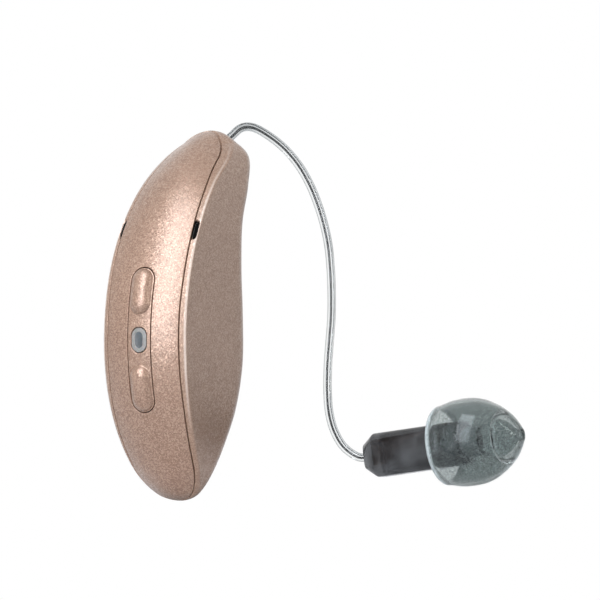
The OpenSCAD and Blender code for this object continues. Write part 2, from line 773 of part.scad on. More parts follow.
module socket_contacts() {
    back = socket_start + socket_length;
    color([0.85, 0.68, 0.32])
        at_exit()
            for (side = [-1, 1])
                translate([0, side * plug_radius / 2, -back - contact_radius * 2])
                    cylinder(h = back - collar_length - plug_length + contact_radius, r = contact_radius, $fn = 24);
}

module lead_plug() {
    color([0.30, 0.31, 0.32])
        at_exit() {
            translate([0, 0, -collar_length])
                cylinder(h = collar_length, r = collar_radius, $fn = round_sides);
            translate([0, 0, -collar_length - plug_length])
                cylinder(h = plug_length + tiny, r = plug_radius, $fn = round_sides);
        }
}

module lead_tube() {
    color([0.88, 0.90, 0.92])
        tube(lead_points, lead_diameter / 2, lead_sides);
}

// Outline of the receiver case across its axis, long edges bevelled
module case_outline(inset, bevel) {
    h = case_height / 2 - inset;
    w = case_width / 2 - inset;
    b = bevel;
    polygon([[h, b - w], [h, w - b], [h - b, w], [b - h, w], [-h, w - b], [-h, b - w], [b - h, -w], [h - b, -w]]);
}

module receiver_case() {
    color([0.25, 0.25, 0.26])
        at_case()
            difference() {
                union() {
                    translate([0, 0, case_taper])
                        linear_extrude(height = case_length - case_taper)
                            case_outline(0, case_bevel);
                    hull() {
                        translate([0, 0, case_taper])
                            linear_extrude(height = tiny)
                                case_outline(0, case_bevel);
                        linear_extrude(height = tiny)
                            case_outline(case_wall * 2, case_bevel / 2);
                    }
                }
                translate([0, 0, case_taper + case_end])
                    linear_extrude(height = case_length - case_taper - case_end * 2)
                        case_outline(case_wall, driver_clearance);
                translate([0, 0, case_length - case_end * 2])
                    cylinder(h = case_length, r = spout_bore, $fn = round_sides);
            }
}

module receiver_driver() {
    color([0.74, 0.75, 0.76])
        at_case()
            translate([0, 0, case_length - case_end - driver_length])
                block([-driver_height / 2, driver_height / 2], [-driver_width / 2, driver_width / 2],
                    [0, driver_length]);
}

module receiver_spout() {
    color([0.30, 0.31, 0.32])
        at_case()
            difference() {
                translate([0, 0, case_length])
                    cylinder(h = spout_length, r = spout_radius, $fn = round_sides);
                translate([0, 0, case_length - spout_length])
                    cylinder(h = spout_length * 3, r = spout_bore, $fn = round_sides);
            }
}

module wax_guard() {
    top = case_length + spout_length;
    color([0.35, 0.36, 0.38])
        at_case()
            difference() {
                union() {
                    translate([0, 0, top - guard_length])
                        cylinder(h = guard_length, r = spout_bore - guard_clearance, $fn = round_sides);
                    translate([0, 0, top])
                        cylinder(h = guard_rim, r = spout_bore + guard_rim, $fn = round_sides);
                }
                translate([0, 0, top - guard_length / 2])
                    cylinder(h = guard_length, r = spout_bore - guard_clearance - guard_rim, $fn = round_sides);
            }
}

module ear_dome() {
    sleeve = spout_radius + guard_clearance;
    far = dome_nose - dome_wall * 2;
    flare = spout_length - dome_offset + guard_rim * 2;
    skirt_shares = [[-1, 0.85], [-0.84, 0.91], [-0.4, 0.985], [0, 1]];
    nose_shares = [[0.2, 0.985], [0.4, 0.9], [0.6, 0.75], [0.79, 0.54]];
    outer = concat([for (s = skirt_shares) [dome_radius * s[1], dome_skirt * s[0]]],
        [for (s = nose_shares) [dome_radius * s[1], dome_nose * s[0]]], [[dome_hole + dome_wall / 2, dome_nose]]);
    inner = concat([[dome_hole, dome_nose], [dome_hole, far], [sleeve, flare + dome_wall], [sleeve, dome_wall
        - dome_offset], [sleeve + dome_wall, dome_wall - dome_offset], [sleeve + dome_wall, flare],
        [dome_radius * 0.54 - dome_wall / 2, dome_nose * 0.72]],
        [for (k = [2:-1:0]) [dome_radius * nose_shares[k][1] - dome_wall, dome_nose * nose_shares[k][0]]],
        [for (k = [3:-1:0]) [dome_radius * skirt_shares[k][1] - dome_wall, dome_skirt * skirt_shares[k][0]]]);
    color([0.55, 0.60, 0.60])
        at_case()
            translate([0, 0, case_length + dome_offset])
                rotate_extrude($fn = round_sides)
                    polygon(concat(outer, inner));
}

housing_shell();
spine_cover();
inlet_screens();
rocker_button();
light_window();
rocker_pins();
button_board();
upper_switch();
lower_switch();
switch_membrane();
status_light();
chassis();
battery_cell();
battery_tabs();
charging_coil();
main_board();
processor_chip();
radio_chip();
power_chip();
antenna_strip();
lower_microphone();
upper_microphone();
lower_boot();
upper_boot();
receiver_socket();
socket_contacts();
lead_plug();
lead_tube();
receiver_case();
receiver_driver();
receiver_spout();
wax_guard();
ear_dome();
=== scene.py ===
"""Looks of a receiver-in-canal hearing aid, worn behind the ear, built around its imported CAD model."""

import bpy
import numpy as np
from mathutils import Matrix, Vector


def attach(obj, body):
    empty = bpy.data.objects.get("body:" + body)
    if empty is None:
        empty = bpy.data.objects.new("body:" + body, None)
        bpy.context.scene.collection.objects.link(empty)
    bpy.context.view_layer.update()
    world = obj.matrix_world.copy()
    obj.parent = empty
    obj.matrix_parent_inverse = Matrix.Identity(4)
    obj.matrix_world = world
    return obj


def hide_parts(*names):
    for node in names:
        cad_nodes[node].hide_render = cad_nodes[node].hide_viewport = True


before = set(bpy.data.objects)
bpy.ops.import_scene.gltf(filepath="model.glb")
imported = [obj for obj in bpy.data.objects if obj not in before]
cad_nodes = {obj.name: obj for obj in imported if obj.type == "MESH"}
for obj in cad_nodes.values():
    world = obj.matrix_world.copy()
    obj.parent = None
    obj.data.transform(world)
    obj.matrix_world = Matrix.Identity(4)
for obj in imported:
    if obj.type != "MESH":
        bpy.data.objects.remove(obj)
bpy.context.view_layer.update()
scene = bpy.context.scene

# Camera: level with the aid, 30 degrees round to its right flank, as in the photograph.
# 11.9 pixels of the 600 make one millimetre.
MM = 0.001
PIXELS_PER_MM = 11.9
view_way = Vector((-0.8660254, -0.5, 0))
view_centre = Vector((3.765, -6.520, 3.361)) * MM
camera_data = bpy.data.cameras.new("photo_camera")
camera_data.type = "ORTHO"
camera_data.ortho_scale = 600 / PIXELS_PER_MM * MM
camera_data.clip_start = 0.001
camera_data.clip_end = 10
camera = bpy.data.objects.new("photo_camera", camera_data)
camera.location = view_centre + view_way * 0.25
camera.rotation_euler = view_way.to_track_quat("Z", "Y").to_euler()
scene.collection.objects.link(camera)
scene.camera = camera


# Lead: the thin cord from the aid's head to the receiver. A clear extruded plastic tube, 0.72 mm thick,
# round two lacquered copper wires, baked in the bend that holds it against the head.
def linear(hex_colour):
    """sRGB hex to linear RGBA: ((c + 0.055) / 1.055)^2.4 for each channel c of 0 to 1, or c / 12.92 if dark."""
    channels = np.array([int(hex_colour[i:i + 2], 16) for i in (1, 3, 5)]) / 255
    low, high = channels / 12.92, ((channels + 0.055) / 1.055) ** 2.4
    return (*np.where(channels <= 0.04045, low, high), 1.0)


def add(tree, kind, sockets=None, **settings):
    """Adds one shader node. Settings are its properties; sockets are its inputs, a value or a link each."""
    made = tree.nodes.new(kind)
    for key, value in settings.items():
        setattr(made, key, value)
    for key, value in (sockets or {}).items():
        if isinstance(value, bpy.types.NodeSocket):
            tree.links.new(value, made.inputs[key])
        else:
            made.inputs[key].default_value = value
    return made


def start_finish(name):
    """A new material with only its output, and the Object coordinates that its patterns follow."""
    finish = bpy.data.materials.new(name)
    finish.use_nodes = True
    tree = finish.node_tree
    tree.nodes.clear()
    output = add(tree, "ShaderNodeOutputMaterial")
    coords = add(tree, "ShaderNodeTexCoord").outputs["Object"]
    return finish, tree, output, coords


def noise(tree, coords, size, detail):
    """Soft noise, from about 0.3 to 0.7, whose blots are this many millimetres across."""
    blots = add(tree, "ShaderNodeTexNoise", {"Vector": coords, "Scale": 1 / (size * MM), "Detail": detail})
    return blots.outputs["Fac"]


def maths(tree, operation, *values, **settings):
    """One step of arithmetic on values or links."""
    return add(tree, "ShaderNodeMath", dict(enumerate(values)), operation=operation, **settings).outputs[0]


def toned(tree, level, *stops):
    """A colour for a level of 0 to 1, along a ramp through stops of (level, sRGB hex)."""
    ramp = add(tree, "ShaderNodeValToRGB", {"Fac": level})
    first, last = ramp.color_ramp.elements
    for mark, (place, shade) in ((first, stops[0]), (last, stops[-1])):
        mark.color, mark.position = linear(shade), place
    for place, shade in stops[1:-1]:
        ramp.color_ramp.elements.new(place).color = linear(shade)
    return ramp.outputs["Color"]


def scaled(tree, level, to_low, to_high, low=0.0, high=1.0):
    """A level between low and high, moved in step to between to_low and to_high, and held there beyond."""
    return add(tree, "ShaderNodeMapRange", {
        "Value": level, "From Min": low, "From Max": high, "To Min": to_low, "To Max": to_high}).outputs["Result"]


def surface(tree, output, sockets):
    """The finish's own shader, joined to its output."""
    shader = add(tree, "ShaderNodeBsdfPrincipled", sockets)
    tree.links.new(shader.outputs[0], output.inputs["Surface"])


def smooth_path(points, count):
    """Even points on a curve through the given ones: cubic Hermite stretches over chord length."""
    points = np.array(points, float)
    knots = np.concatenate([[0], np.cumsum(np.linalg.norm(np.diff(points, axis=0), axis=1))])
    slopes = np.gradient(points, knots, axis=0)
    at = np.linspace(0, knots[-1], count)
    i = np.clip(np.searchsorted(knots, at, side="right") - 1, 0, len(knots) - 2)
    step = (knots[i + 1] - knots[i])[:, None]
    t = (at[:, None] - knots[i][:, None]) / step
    return ((2 * t**3 - 3 * t**2 + 1) * points[i] + (t**3 - 2 * t**2 + t) * step * slopes[i]
            + (3 * t**2 - 2 * t**3) * points[i + 1] + (t**3 - t**2) * step * slopes[i + 1])


def grid_piece(name, grids, finish, body, capped=True, skip=None):
    """A mesh from grids of points in millimetres: neighbours in a grid's rows and columns are joined by quads,
    the last column to the first, and a capped grid's end rows are closed by fans to their mean points. Quads in
    skip are left out of every grid. Faces end up facing out of the volume."""
    all_points, all_faces = [], []
    base = 0
    for grid in grids:
        rows, columns = grid.shape[:2]
        ids = base + np.arange(rows * columns).reshape(rows, columns)
        after = np.roll(ids, -1, axis=1)
        quads = np.stack([ids[:-1], after[:-1], after[1:], ids[1:]], axis=-1)
        faces = quads[np.ones(quads.shape[:2], bool) if skip is None else ~skip]
        points = grid.reshape(-1, 3)
        base += len(points)
        for end in (0, rows - 1) if capped else ():
            points = np.vstack([points, grid[end].mean(axis=0)])
            fan = np.stack([ids[end], after[end], np.full_like(ids[end], base)], axis=-1)
            fan = fan[:, ::-1] if end == 0 else fan
            faces = np.vstack([faces, np.column_stack([fan, fan[:, 2]])])
            base += 1
        a, b, c, d = (points[faces[:, k] - (base - len(points))] for k in range(4))
        turn = (a * np.cross(b, c)).sum() + (a * np.cross(c, d)).sum()
        all_faces.append(faces if turn > 0 else faces[:, ::-1])
        all_points.append(points)
    points = np.vstack(all_points) * MM
    faces = np.vstack(all_faces)
    points, merged = np.unique(np.round(points, 9), axis=0, return_inverse=True)
    faces = merged.reshape(-1)[faces]
    distinct = [list(dict.fromkeys(face)) for face in faces.tolist()]
    mesh = bpy.data.meshes.new(name)
    mesh.from_pydata(points.tolist(), [], [face for face in distinct if len(face) > 2])
    mesh.polygons.foreach_set("use_smooth", [True] * len(mesh.polygons))
    mesh.update()
    piece = bpy.data.objects.new(name, mesh)
    if finish:
        piece.data.materials.append(finish)
    scene.collection.objects.link(piece)
    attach(piece, body)
    return piece


def tube_grid(path, radius, sides, offset=(0, 0)):
    """Rings square to a path: centre + radius x (cos a x normal + sin a x binormal), with the centre shifted
    across the path by offset. The normal is square to the path and to one way that the path never takes."""
    along = np.gradient(path, axis=0)
    along /= np.linalg.norm(along, axis=1, keepdims=True)
    normal = np.cross(along, [-0.6, -0.5, 0.6])
    normal /= np.linalg.norm(normal, axis=1, keepdims=True)
    binormal = np.cross(along, normal)
    a = np.linspace(0, 2 * np.pi, sides, endpoint=False)[None, :, None]
    centre = path + offset[0] * normal + offset[1] * binormal
    return centre[:, None] + radius * (np.cos(a) * normal[:, None] + np.sin(a) * binormal[:, None])


collar_end = np.array([2.899, 0, 16.75])
exit_way = np.array([0.788011, 0, 0.615661])
case_back = collar_end + [8.68, -8.4, -26.6]
case_way = np.array([0.05, -0.99, 0.129]) / np.linalg.norm([0.05, -0.99, 0.129])
lead_diameter = 0.72
lead_points = np.vstack([
    collar_end, collar_end + exit_way * lead_diameter / 3,
    collar_end + np.array([
        [0.9, 0, 0.5], [1.8, 0, 0.92], [2.8, 0, 1.15], [4, -0.1, 1.12], [5.9, -0.6, 0.4], [7.5, -1.3, -0.75],
        [8.6, -2, -2.15], [9.1, -2.7, -3.65], [9.35, -3.3, -5.2], [9.4, -3.9, -6.95], [9.3, -4.4, -8.75],
        [9, -4.8, -10.75], [8.65, -5.1, -13], [8.25, -5.3, -15], [7.8, -5.4, -16.8], [7.3, -5.5, -19.2],
        [7.1, -5.6, -21.1], [7.3, -5.7, -23.1], [7.8, -5.95, -24.6], [8.3, -6.5, -25.75], [8.6, -7.2, -26.35],
        [8.66, -7.8, -26.6]]),
    case_back - case_way * lead_diameter / 3, case_back])
lead_path = smooth_path(lead_points, 260)

# Clear extruded polyamide: glossy and colourless, with painted shade along its edges, where the colour turns grey as
# the surface is seen edge-on. It bends light less than the real one, so that its two wires show where they lie.
lead_clear, tree, output, coords = start_finish("clear_extruded_polyamide")
# Painted shade: the colour goes from near white to grey towards the tube's silhouette.
edge = add(tree, "ShaderNodeLayerWeight", {"Blend": 0.5})
haze = noise(tree, coords, 0.4, 2.0)
depth = maths(tree, "MULTIPLY_ADD", haze, 0.12, edge.outputs["Facing"])
surface(tree, output, {
    "Base Color": toned(tree, depth, (0.2, "#f8fafa"), (0.75, "#7d8284")),
    "Roughness": scaled(tree, haze, 0.0, 0.01), "IOR": 1.3, "Transmission Weight": 1.0})


def clouded(name, size, detail, stops, sockets):
    """A finish whose colour wanders through the stops with one soft noise."""
    finish, tree, output, coords = start_finish(name)
    colour = toned(tree, noise(tree, coords, size, detail), *stops)
    surface(tree, output, {"Base Color": colour, **sockets})
    return finish


lead_tube = grid_piece("lead_clear_tube", [tube_grid(lead_path, lead_diameter / 2, 32)], lead_clear, "lead")

# Wires: copper, tinned and lacquered grey, so only half metallic, with soft clouds between two shades. Each row gives
# a wire's radius and its place in the tube, both in millimetres, then the name and the two shades of its finish.
lead_wires = []
for radius, offset, name, dark, light in (
        (0.075, (0.04, 0.0), "dark_lacquered_wire", "#3a3b3c", "#5c5d5e"),
        (0.04, (-0.15, -0.03), "pale_lacquered_wire", "#8a8c8d", "#acaeaf")):
    wire_lacquer = clouded(name, 0.7, 2.0, ((0, dark), (1, light)), {"Metallic": 0.4, "Roughness": 0.4})
    lead_wires.append(grid_piece(f"lead_wire_{len(lead_wires)}", [tube_grid(lead_path, radius, 12, offset)],
                                 wire_lacquer, "lead"))
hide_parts("lead_tube")


# Housing shell: the front and flanks of the body, one injection moulding under a lacquer that holds mica flakes.
# It is snapped and glued to the spine cover along the parting line, and meets it at a fine groove.
ARC_X, SPINE_RADIUS, SEAM_RADIUS, LEAN_Z = 6.9, 19.0, 18.24, 15.2
BODY_DEPTH, HALF_WIDTH, HALF_HEIGHT, MID_Z, WALL = 12.1, 4.0, 15.55, 2.05, 0.62
CROWN_END, CREASE_END, FLANK_END, CORNER_END = 0.4, 0.46, 0.74, 0.9
outline_shares = {
    "tip": [0.124, 0.033, 0, 0, 0, 0, 0, 0, 0, 0, 0, 0, 0.037],
    "front": [-0.413, -0.372, -0.314, -0.207, -0.078, -0.004, 0, -0.012, 0.017, 0.132, 0.19, 0.066, 0.012],
    "width": [0, 0.46, 0.745, 0.888, 0.968, 1, 1, 0.988, 0.95, 0.88, 0.765, 0.43, 0],
    "crown": [0, 0.24, 0.305, 0.28, 0.263, 0.263, 0.263, 0.265, 0.3, 0.38, 0.55, 0.475, 0],
    "corner": [0, 0.275, 0.425, 0.475, 0.5, 0.5, 0.5, 0.5, 0.475, 0.45, 0.425, 0.3, 0],
    "edge": [0, 0.06, 0.065, 0.055, 0.045, 0.038, 0.038, 0.038, 0.04, 0.05, 0.06, 0.08, 0]}


def share_at(name, turn):
    """Catmull-Rom curve through one list of shares, 15 degrees apart from the lower tip to the upper."""
    shares = np.array(outline_shares[name], float)
    shares = np.concatenate([[2 * shares[0] - shares[1]], shares, [2 * shares[-1] - shares[-2]]])
    t = (np.asarray(turn, float) + 90) / 15
    i = np.clip(np.floor(t).astype(int), 0, 11)
    f = t - i
    a, b, c, d = (shares[i + k] for k in range(4))
    return (2 * b + (c - a) * f + (2 * a - 5 * b + 4 * c - d) * f**2 + (3 * b - a - 3 * c + d) * f**3) / 2


def turn_of(z):
    """The section angle of a height: arcsine of its distance from mid height over half the height."""
    return np.degrees(np.arcsin(np.clip((np.asarray(z, float) - MID_Z) / HALF_HEIGHT, -1, 1)))


def height_of(turn):
    """The height of a section angle, the other way round."""
    return MID_Z + HALF_HEIGHT * np.sin(np.radians(turn))


def spine_x(turn):
    """The spine seen from the side: a circle, drawn in at both tips."""
    return ARC_X - np.sqrt(SPINE_RADIUS**2 - height_of(turn)**2) + BODY_DEPTH * share_at("tip", turn)


def seam_x(z):
    """Parting line seen from the side: a circle inside the spine's, leaning over in a parabola at the head."""
    z = np.asarray(z, float)
    rise = np.maximum(z - LEAN_Z, 0)
    circle = ARC_X - np.sqrt(SEAM_RADIUS**2 - np.minimum(z, LEAN_Z)**2)
    return circle + 1.5 * rise - 0.085 * rise**2


def crown_size(turn):
    """The crown's half width, its depth, and the size of the crease beside it, kept above nothing at the tips."""
    w, drop = (np.maximum(HALF_WIDTH * share_at(name, turn), 1e-4) for name in ("width", "crown"))
    return w, drop, np.maximum(HALF_WIDTH * share_at("edge", turn), w / 50)


def part_of(run, start, end):
    """How far a value has come on its way from start to end, 0 to 1."""
    return np.clip((run - start) / (end - start), 0, 1)


def skin(turn, run):
    """Outside of the body at a section angle and a run round its half section, 0 to 1: the crown,
    x = drop (y / w)^2; the crease, a quadratic Bezier; the flank, straight; the front corner, a quarter circle;
    and the front face, flat to the middle."""
    turn, run = np.broadcast_arrays(np.asarray(turn, float), np.asarray(run, float))
    back, front = spine_x(turn), BODY_DEPTH * share_at("front", turn)
    depth = np.maximum(front - back, 1e-3)
    w, _, edge = crown_size(turn)
    drop = HALF_WIDTH * share_at("crown", turn)
    corner = np.maximum(HALF_WIDTH * share_at("corner", turn), w / 4)
    fit = np.minimum(1, depth / (drop + edge + corner))
    drop, edge, corner_x = drop * fit, edge * fit, corner * fit
    v = w - edge
    t = part_of(run, 0, CROWN_END)
    crown = (drop * (v * t / w)**2, v * t)
    t = part_of(run, CROWN_END, CREASE_END)
    crease = (drop * (v / w)**2 * (1 - t)**2 + 2 * drop * t * (1 - t) + (drop + edge) * t**2,
              v * (1 - t)**2 + 2 * w * t * (1 - t) + w * t**2)
    t = part_of(run, CREASE_END, FLANK_END)
    flank = (drop + edge + (depth - corner_x - drop - edge) * t, w + 0 * t)
    t = part_of(run, FLANK_END, CORNER_END) * np.pi / 2
    bend = (depth - corner_x + corner_x * np.sin(t), w - corner_x + corner_x * np.cos(t))
    t = part_of(run, CORNER_END, 1)
    face = (depth + 0 * t, (w - corner_x) * (1 - t))
    pick = [run < end for end in (CROWN_END, CREASE_END, FLANK_END, CORNER_END)]
    x = np.select(pick, [crown[0], crease[0], flank[0], bend[0]], face[0])
    y = np.select(pick, [crown[1], crease[1], flank[1], bend[1]], face[1])
    return np.stack([back + x, y, height_of(turn)], axis=-1)


def outward(turn, run, turn_step=0.4, run_step=0.004):
    """Unit normal of the skin: cross product of its central differences along turn and run. On the middle plane
    the second one is square to that plane."""
    turn, run = np.broadcast_arrays(np.asarray(turn, float), np.asarray(run, float))
    up = skin(np.minimum(turn + turn_step, 89.9), run) - skin(np.maximum(turn - turn_step, -89.9), run)
    along = skin(turn, np.minimum(run + run_step, 1)) - skin(turn, np.maximum(run - run_step, 0))
    at_crown, at_front = run < run_step, run > 1 - run_step
    along = np.where((at_crown | at_front)[..., None],
                     np.stack([0 * run, np.where(at_crown, 1.0, -1.0), 0 * run], axis=-1), along)
    normal = np.cross(up, along)
    length = np.linalg.norm(normal, axis=-1, keepdims=True)
    return normal / np.maximum(length, 1e-9)


def shell_half(turns, runs, depths, side):
    """One half of a shell: skin points moved inwards by their depths, mirrored to the -Y flank for side -1.
    The depth fades to nothing in the last 12 degrees at both tips, where the body is thinner than its wall."""
    turn = turns[:, None]
    fade = part_of(np.abs(turn), 90, 78)
    grid = skin(turn, runs) - outward(turn, runs) * (depths * fade)[..., None]
    grid[..., 1] = np.where(grid[..., 1] < 4e-4, 0, grid[..., 1]) * side
    return grid


def rounded(gap, radius):
    """How far a rounded edge lies below its face at a distance in from the edge: r - sqrt(r^2 - (r - gap)^2)."""
    near = np.clip(radius - gap, 0, radius)
    return radius - np.sqrt(radius**2 - near**2)


def seam_y(z):
    """Half width of the spine cover at a height: the crown's y where the parting line crosses it."""
    turn = turn_of(z)
    w, drop, _ = crown_size(turn)
    return w * np.sqrt(np.clip((seam_x(z) - spine_x(turn)) / drop, 0, 1))


def run_of_y(turn, y):
    """The run whose crown point has this y: CROWN_END times y over the crown's own half width."""
    w, _, edge = crown_size(turn)
    return CROWN_END * y / (w - edge)


def from_middle(y, z, straight):
    """Distance from the middle line of a stadium that is straight this far up and down."""
    return np.hypot(np.maximum(np.abs(z) - straight, 0), y)


# The edge steps down to a ledge behind the spine cover's edge, which leaves the groove of the parting line.
SEAM_GAP, SEAM_DEPTH, EDGE_ROUND = 0.085, 0.13, 0.045
SLOT_Z, SLOT_STRAIGHT, SLOT_END, SLOT_WIDE, SLOT_SLOPE, SLOT_DEEP = 9.3, 0.5, 0.34, 0.34, 0.17, 0.58
SLOT_LEAN, LIP_DEEP = 0.87, 0.32


def slot_share(z, from_edge):
    """Distance from a microphone slot's middle line as a share of its half width. The slot follows the parting
    line, which leans there: SLOT_LEAN of its length is height."""
    along = np.maximum(np.abs(z - SLOT_Z) / SLOT_LEAN - SLOT_STRAIGHT, 0)
    return np.hypot(along / SLOT_END, np.maximum(from_edge, 0) / SLOT_WIDE)


# Sections lie closest at the slots, where the parting line crosses the head, and at the lower tip. Round each
# section, the runs are the groove's ledge, its rounded edge, the outside, and the inside back to the ledge.
fine_z = np.concatenate([np.arange(SLOT_Z - 1.3, SLOT_Z + 1.3, 0.04), np.arange(15.5, 17.58, 0.025),
                         np.arange(-13.49, -12.6, 0.03)])
housing_turns = np.unique(np.concatenate([np.linspace(-90, 90, 241), turn_of(fine_z)]))
housing_z = height_of(housing_turns)
run_per_mm = run_of_y(housing_turns, 1.0)
cover_y = seam_y(housing_z)
upward = np.where(housing_z > 0, seam_y(np.minimum(housing_z, 17.6) - SEAM_GAP), seam_y(housing_z + SEAM_GAP))
start_y = np.where(cover_y > 0, np.maximum(cover_y + SEAM_GAP, upward), upward)
start = np.clip(start_y * run_per_mm, 0, CROWN_END - 0.001)
ledge = np.clip((cover_y + 0.01) * run_per_mm, 0, start) * (cover_y > 0)
inset = np.array([0, 0, 0.15, 0.4, 0.7, 1.0, 1.4]) * EDGE_ROUND
near = np.concatenate([ledge[:, None], start[:, None] + inset * run_per_mm[:, None]], axis=1)
crown_steps = np.linspace(0, 1, 30)[1:]
round_steps = np.concatenate([np.linspace(begin, end, steps)[1:] for begin, end, steps in (
    (CROWN_END, CREASE_END, 11), (CREASE_END, FLANK_END, 15), (FLANK_END, CORNER_END, 13), (CORNER_END, 1, 5))])
band = near[:, -1:] + (CROWN_END - near[:, -1:]) * crown_steps
outer_runs = np.concatenate([near, np.minimum(band, CROWN_END), np.tile(round_steps, (len(start), 1))], axis=1)
outer_runs = np.maximum.accumulate(outer_runs, axis=1)
from_edge = (outer_runs - start[:, None]) / run_per_mm[:, None]
open_seam = (start > 1e-6)[:, None]
outer_depths = rounded(np.maximum(from_edge, 0), EDGE_ROUND) * open_seam
outer_depths[:, :2] = np.where(open_seam, SEAM_DEPTH, 0)
slot_way = slot_share(housing_z[:, None], from_edge)
slot_fall = np.clip(1 - (slot_way - 1) * SLOT_WIDE / SLOT_SLOPE, 0, 1)
slot_depth = np.where(slot_way < 1, SLOT_DEEP, LIP_DEEP * slot_fall**1.5)
outer_depths = np.where(from_edge < 1.2, np.maximum(outer_depths, slot_depth), outer_depths)
inner_runs = np.concatenate([outer_runs[:, :1:-3], ledge[:, None]], axis=1)
runs = np.concatenate([outer_runs, inner_runs], axis=1)
depths = np.concatenate([outer_depths, np.full_like(inner_runs, WALL)], axis=1)
halves = [shell_half(housing_turns, runs, depths, side) for side in (1, -1)]

# Left out are the quads across the wall on the middle plane: at the front, and past the cover's end at the back.
skips = np.zeros((len(housing_turns) - 1, runs.shape[1]), bool)
skips[:, outer_runs.shape[1] - 1] = True
skips[(ledge[:-1] < 1e-6) & (ledge[1:] < 1e-6), -1] = True


def flake_lacquer(name, deep, mid, pale, painted_light=None):
    """Satin lacquer over moulded plastic, sprayed with fine mica flakes. The real flakes are about 0.03 mm and
    are drawn at 0.1 mm to show: each cell of a Voronoi pattern tilts its own spot and shades it a little. The
    attribute named by painted_light is 1 for a painted highlight along a crease and -1 for painted shade in a recess."""
    finish, tree, output, coords = start_finish(name)
    flakes = add(tree, "ShaderNodeTexVoronoi", {"Vector": coords, "Scale": 1 / (0.10 * MM)})
    grain = add(tree, "ShaderNodeSeparateColor", {"Color": flakes.outputs["Color"]})
    level = maths(tree, "MULTIPLY", grain.outputs["Red"], 0.8)
    level = maths(tree, "MULTIPLY_ADD", noise(tree, coords, 4, 2.0), 0.2, level)
    colour = toned(tree, level, (0.1, deep), (0.5, mid), (0.9, pale))
    if painted_light:
        painted_light_level = add(tree, "ShaderNodeAttribute", attribute_name=painted_light)
        # Painted highlight: a pale tint along the crease where the attribute is positive. Painted shade: near black
        # inside the slots where it is -1.
        for sign, shade in ((0.7, "#e3d3c7"), (-1.0, "#1d1a18")):
            much = maths(tree, "MULTIPLY", painted_light_level.outputs["Fac"], sign, use_clamp=True)
            colour = add(tree, "ShaderNodeMix", {"Factor": much, 6: colour, 7: linear(shade)},
                         data_type="RGBA").outputs[2]
    face = add(tree, "ShaderNodeNewGeometry")
    tilt = add(tree, "ShaderNodeVectorMath", {0: flakes.outputs["Color"], 1: (0.5, 0.5, 0.5)}, operation="SUBTRACT")
    tilt = add(tree, "ShaderNodeVectorMath", {0: tilt.outputs[0], 1: (0.27, 0.27, 0.27), 2: face.outputs["Normal"]},
               operation="MULTIPLY_ADD")
    tilt = add(tree, "ShaderNodeVectorMath", {0: tilt.outputs[0]}, operation="NORMALIZE")
    surface(tree, output, {
        "Base Color": colour, "Normal": tilt.outputs[0], "Metallic": 0.43, "Roughness": 0.34,
        "Specular IOR Level": 0.5, "Coat Weight": 0.75, "Coat Roughness": 0.32})
    return finish


def rod_grid(start, end, radius, sides=32, edge=0.03):
    """A round rod with softened ends: rings of the radius, drawn in at both ends."""
    start, end = np.array(start, float), np.array(end, float)
    along = (end - start) / np.linalg.norm(end - start)
    steps = np.array([0, 0, edge / 3, edge])
    places = np.concatenate([steps, np.linalg.norm(end - start) - steps[::-1]])
    radii = radius - np.array([edge * 3, edge, edge / 3, 0, 0, edge / 3, edge, edge * 3])
    radii[[0, -1]] = np.maximum(radii[[0, -1]], radius * 0.3)
    across = np.cross(along, [0.3, 0.5, 0.81])
    across /= np.linalg.norm(across)
    other = np.cross(along, across)
    a = np.linspace(0, 2 * np.pi, sides, endpoint=False)[None, :, None]
    ring = np.cos(a) * across + np.sin(a) * other
    return start + along * places[:, None, None] + radii[:, None, None] * ring


def drilled(piece, start, end, radius):
    """Cuts a round hole through a piece: its mesh less a rod between two points."""
    cutter = grid_piece(piece.name + "_drill", [rod_grid(start, end, radius, 64, 0.001)], None, "aid")
    hole = piece.modifiers.new("hole", "BOOLEAN")
    hole.operation, hole.solver, hole.object = "DIFFERENCE", "EXACT", cutter
    solid = piece.evaluated_get(bpy.context.evaluated_depsgraph_get())
    mesh = bpy.data.meshes.new_from_object(solid)
    piece.modifiers.clear()
    piece.data = mesh
    bpy.data.objects.remove(cutter)


def points_of(piece):
    """The piece's vertices in millimetres, one row each."""
    points = np.empty(len(piece.data.vertices) * 3)
    piece.data.vertices.foreach_get("co", points)
    return points.reshape(-1, 3) / MM


def write_attribute(piece, name, values):
    """One number a vertex, which the piece's finish reads by this name."""
    piece.data.attributes.new(name, "FLOAT", "POINT").data.foreach_set("value", values.astype(np.float32))


def painted_crease_glint_and_slot_shade(piece, width=0.1, crease_run=0.415, slot_reach=2):
    """Painted light for the housing's lacquer: a painted highlight along the crease, as a bell curve of the distance
    from the crease's middle which fades out over 6 mm towards both ends of it, and -1, painted shade, inside the
    slots, no further than slot_reach in front of the parting line."""
    x, y, z = points_of(piece).T
    turn = turn_of(z)
    middle = skin(turn, np.full_like(turn, crease_run))
    crease_glint = np.exp(-(np.hypot(x - middle[:, 0], np.abs(y) - middle[:, 1]) / width)**2)
    crease_glint *= part_of(z, -8, -2) * part_of(z, 17.4, 11.4)
    in_slot = (slot_share(z, np.abs(y) - seam_y(z) - SEAM_GAP) < 0.9) & (x < seam_x(z) + slot_reach)
    return np.where(in_slot, -1.0, crease_glint)


housing_lacquer = flake_lacquer("rose_beige_flake_lacquer", "#7d5f4d", "#91735f", "#a58873", "painted_crease_glint_and_slot_shade")
housing = grid_piece("housing_lacquered_shell", halves, housing_lacquer, "aid", capped=False, skip=skips)
PLUG_HOLE = 0.76
drilled(housing, collar_end - exit_way * 1.6, collar_end + exit_way * 1.0, PLUG_HOLE)
# The housing's painted highlight along the crease and painted shade in the slots.
write_attribute(housing, "painted_crease_glint_and_slot_shade", painted_crease_glint_and_slot_shade(housing))
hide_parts("housing_shell")


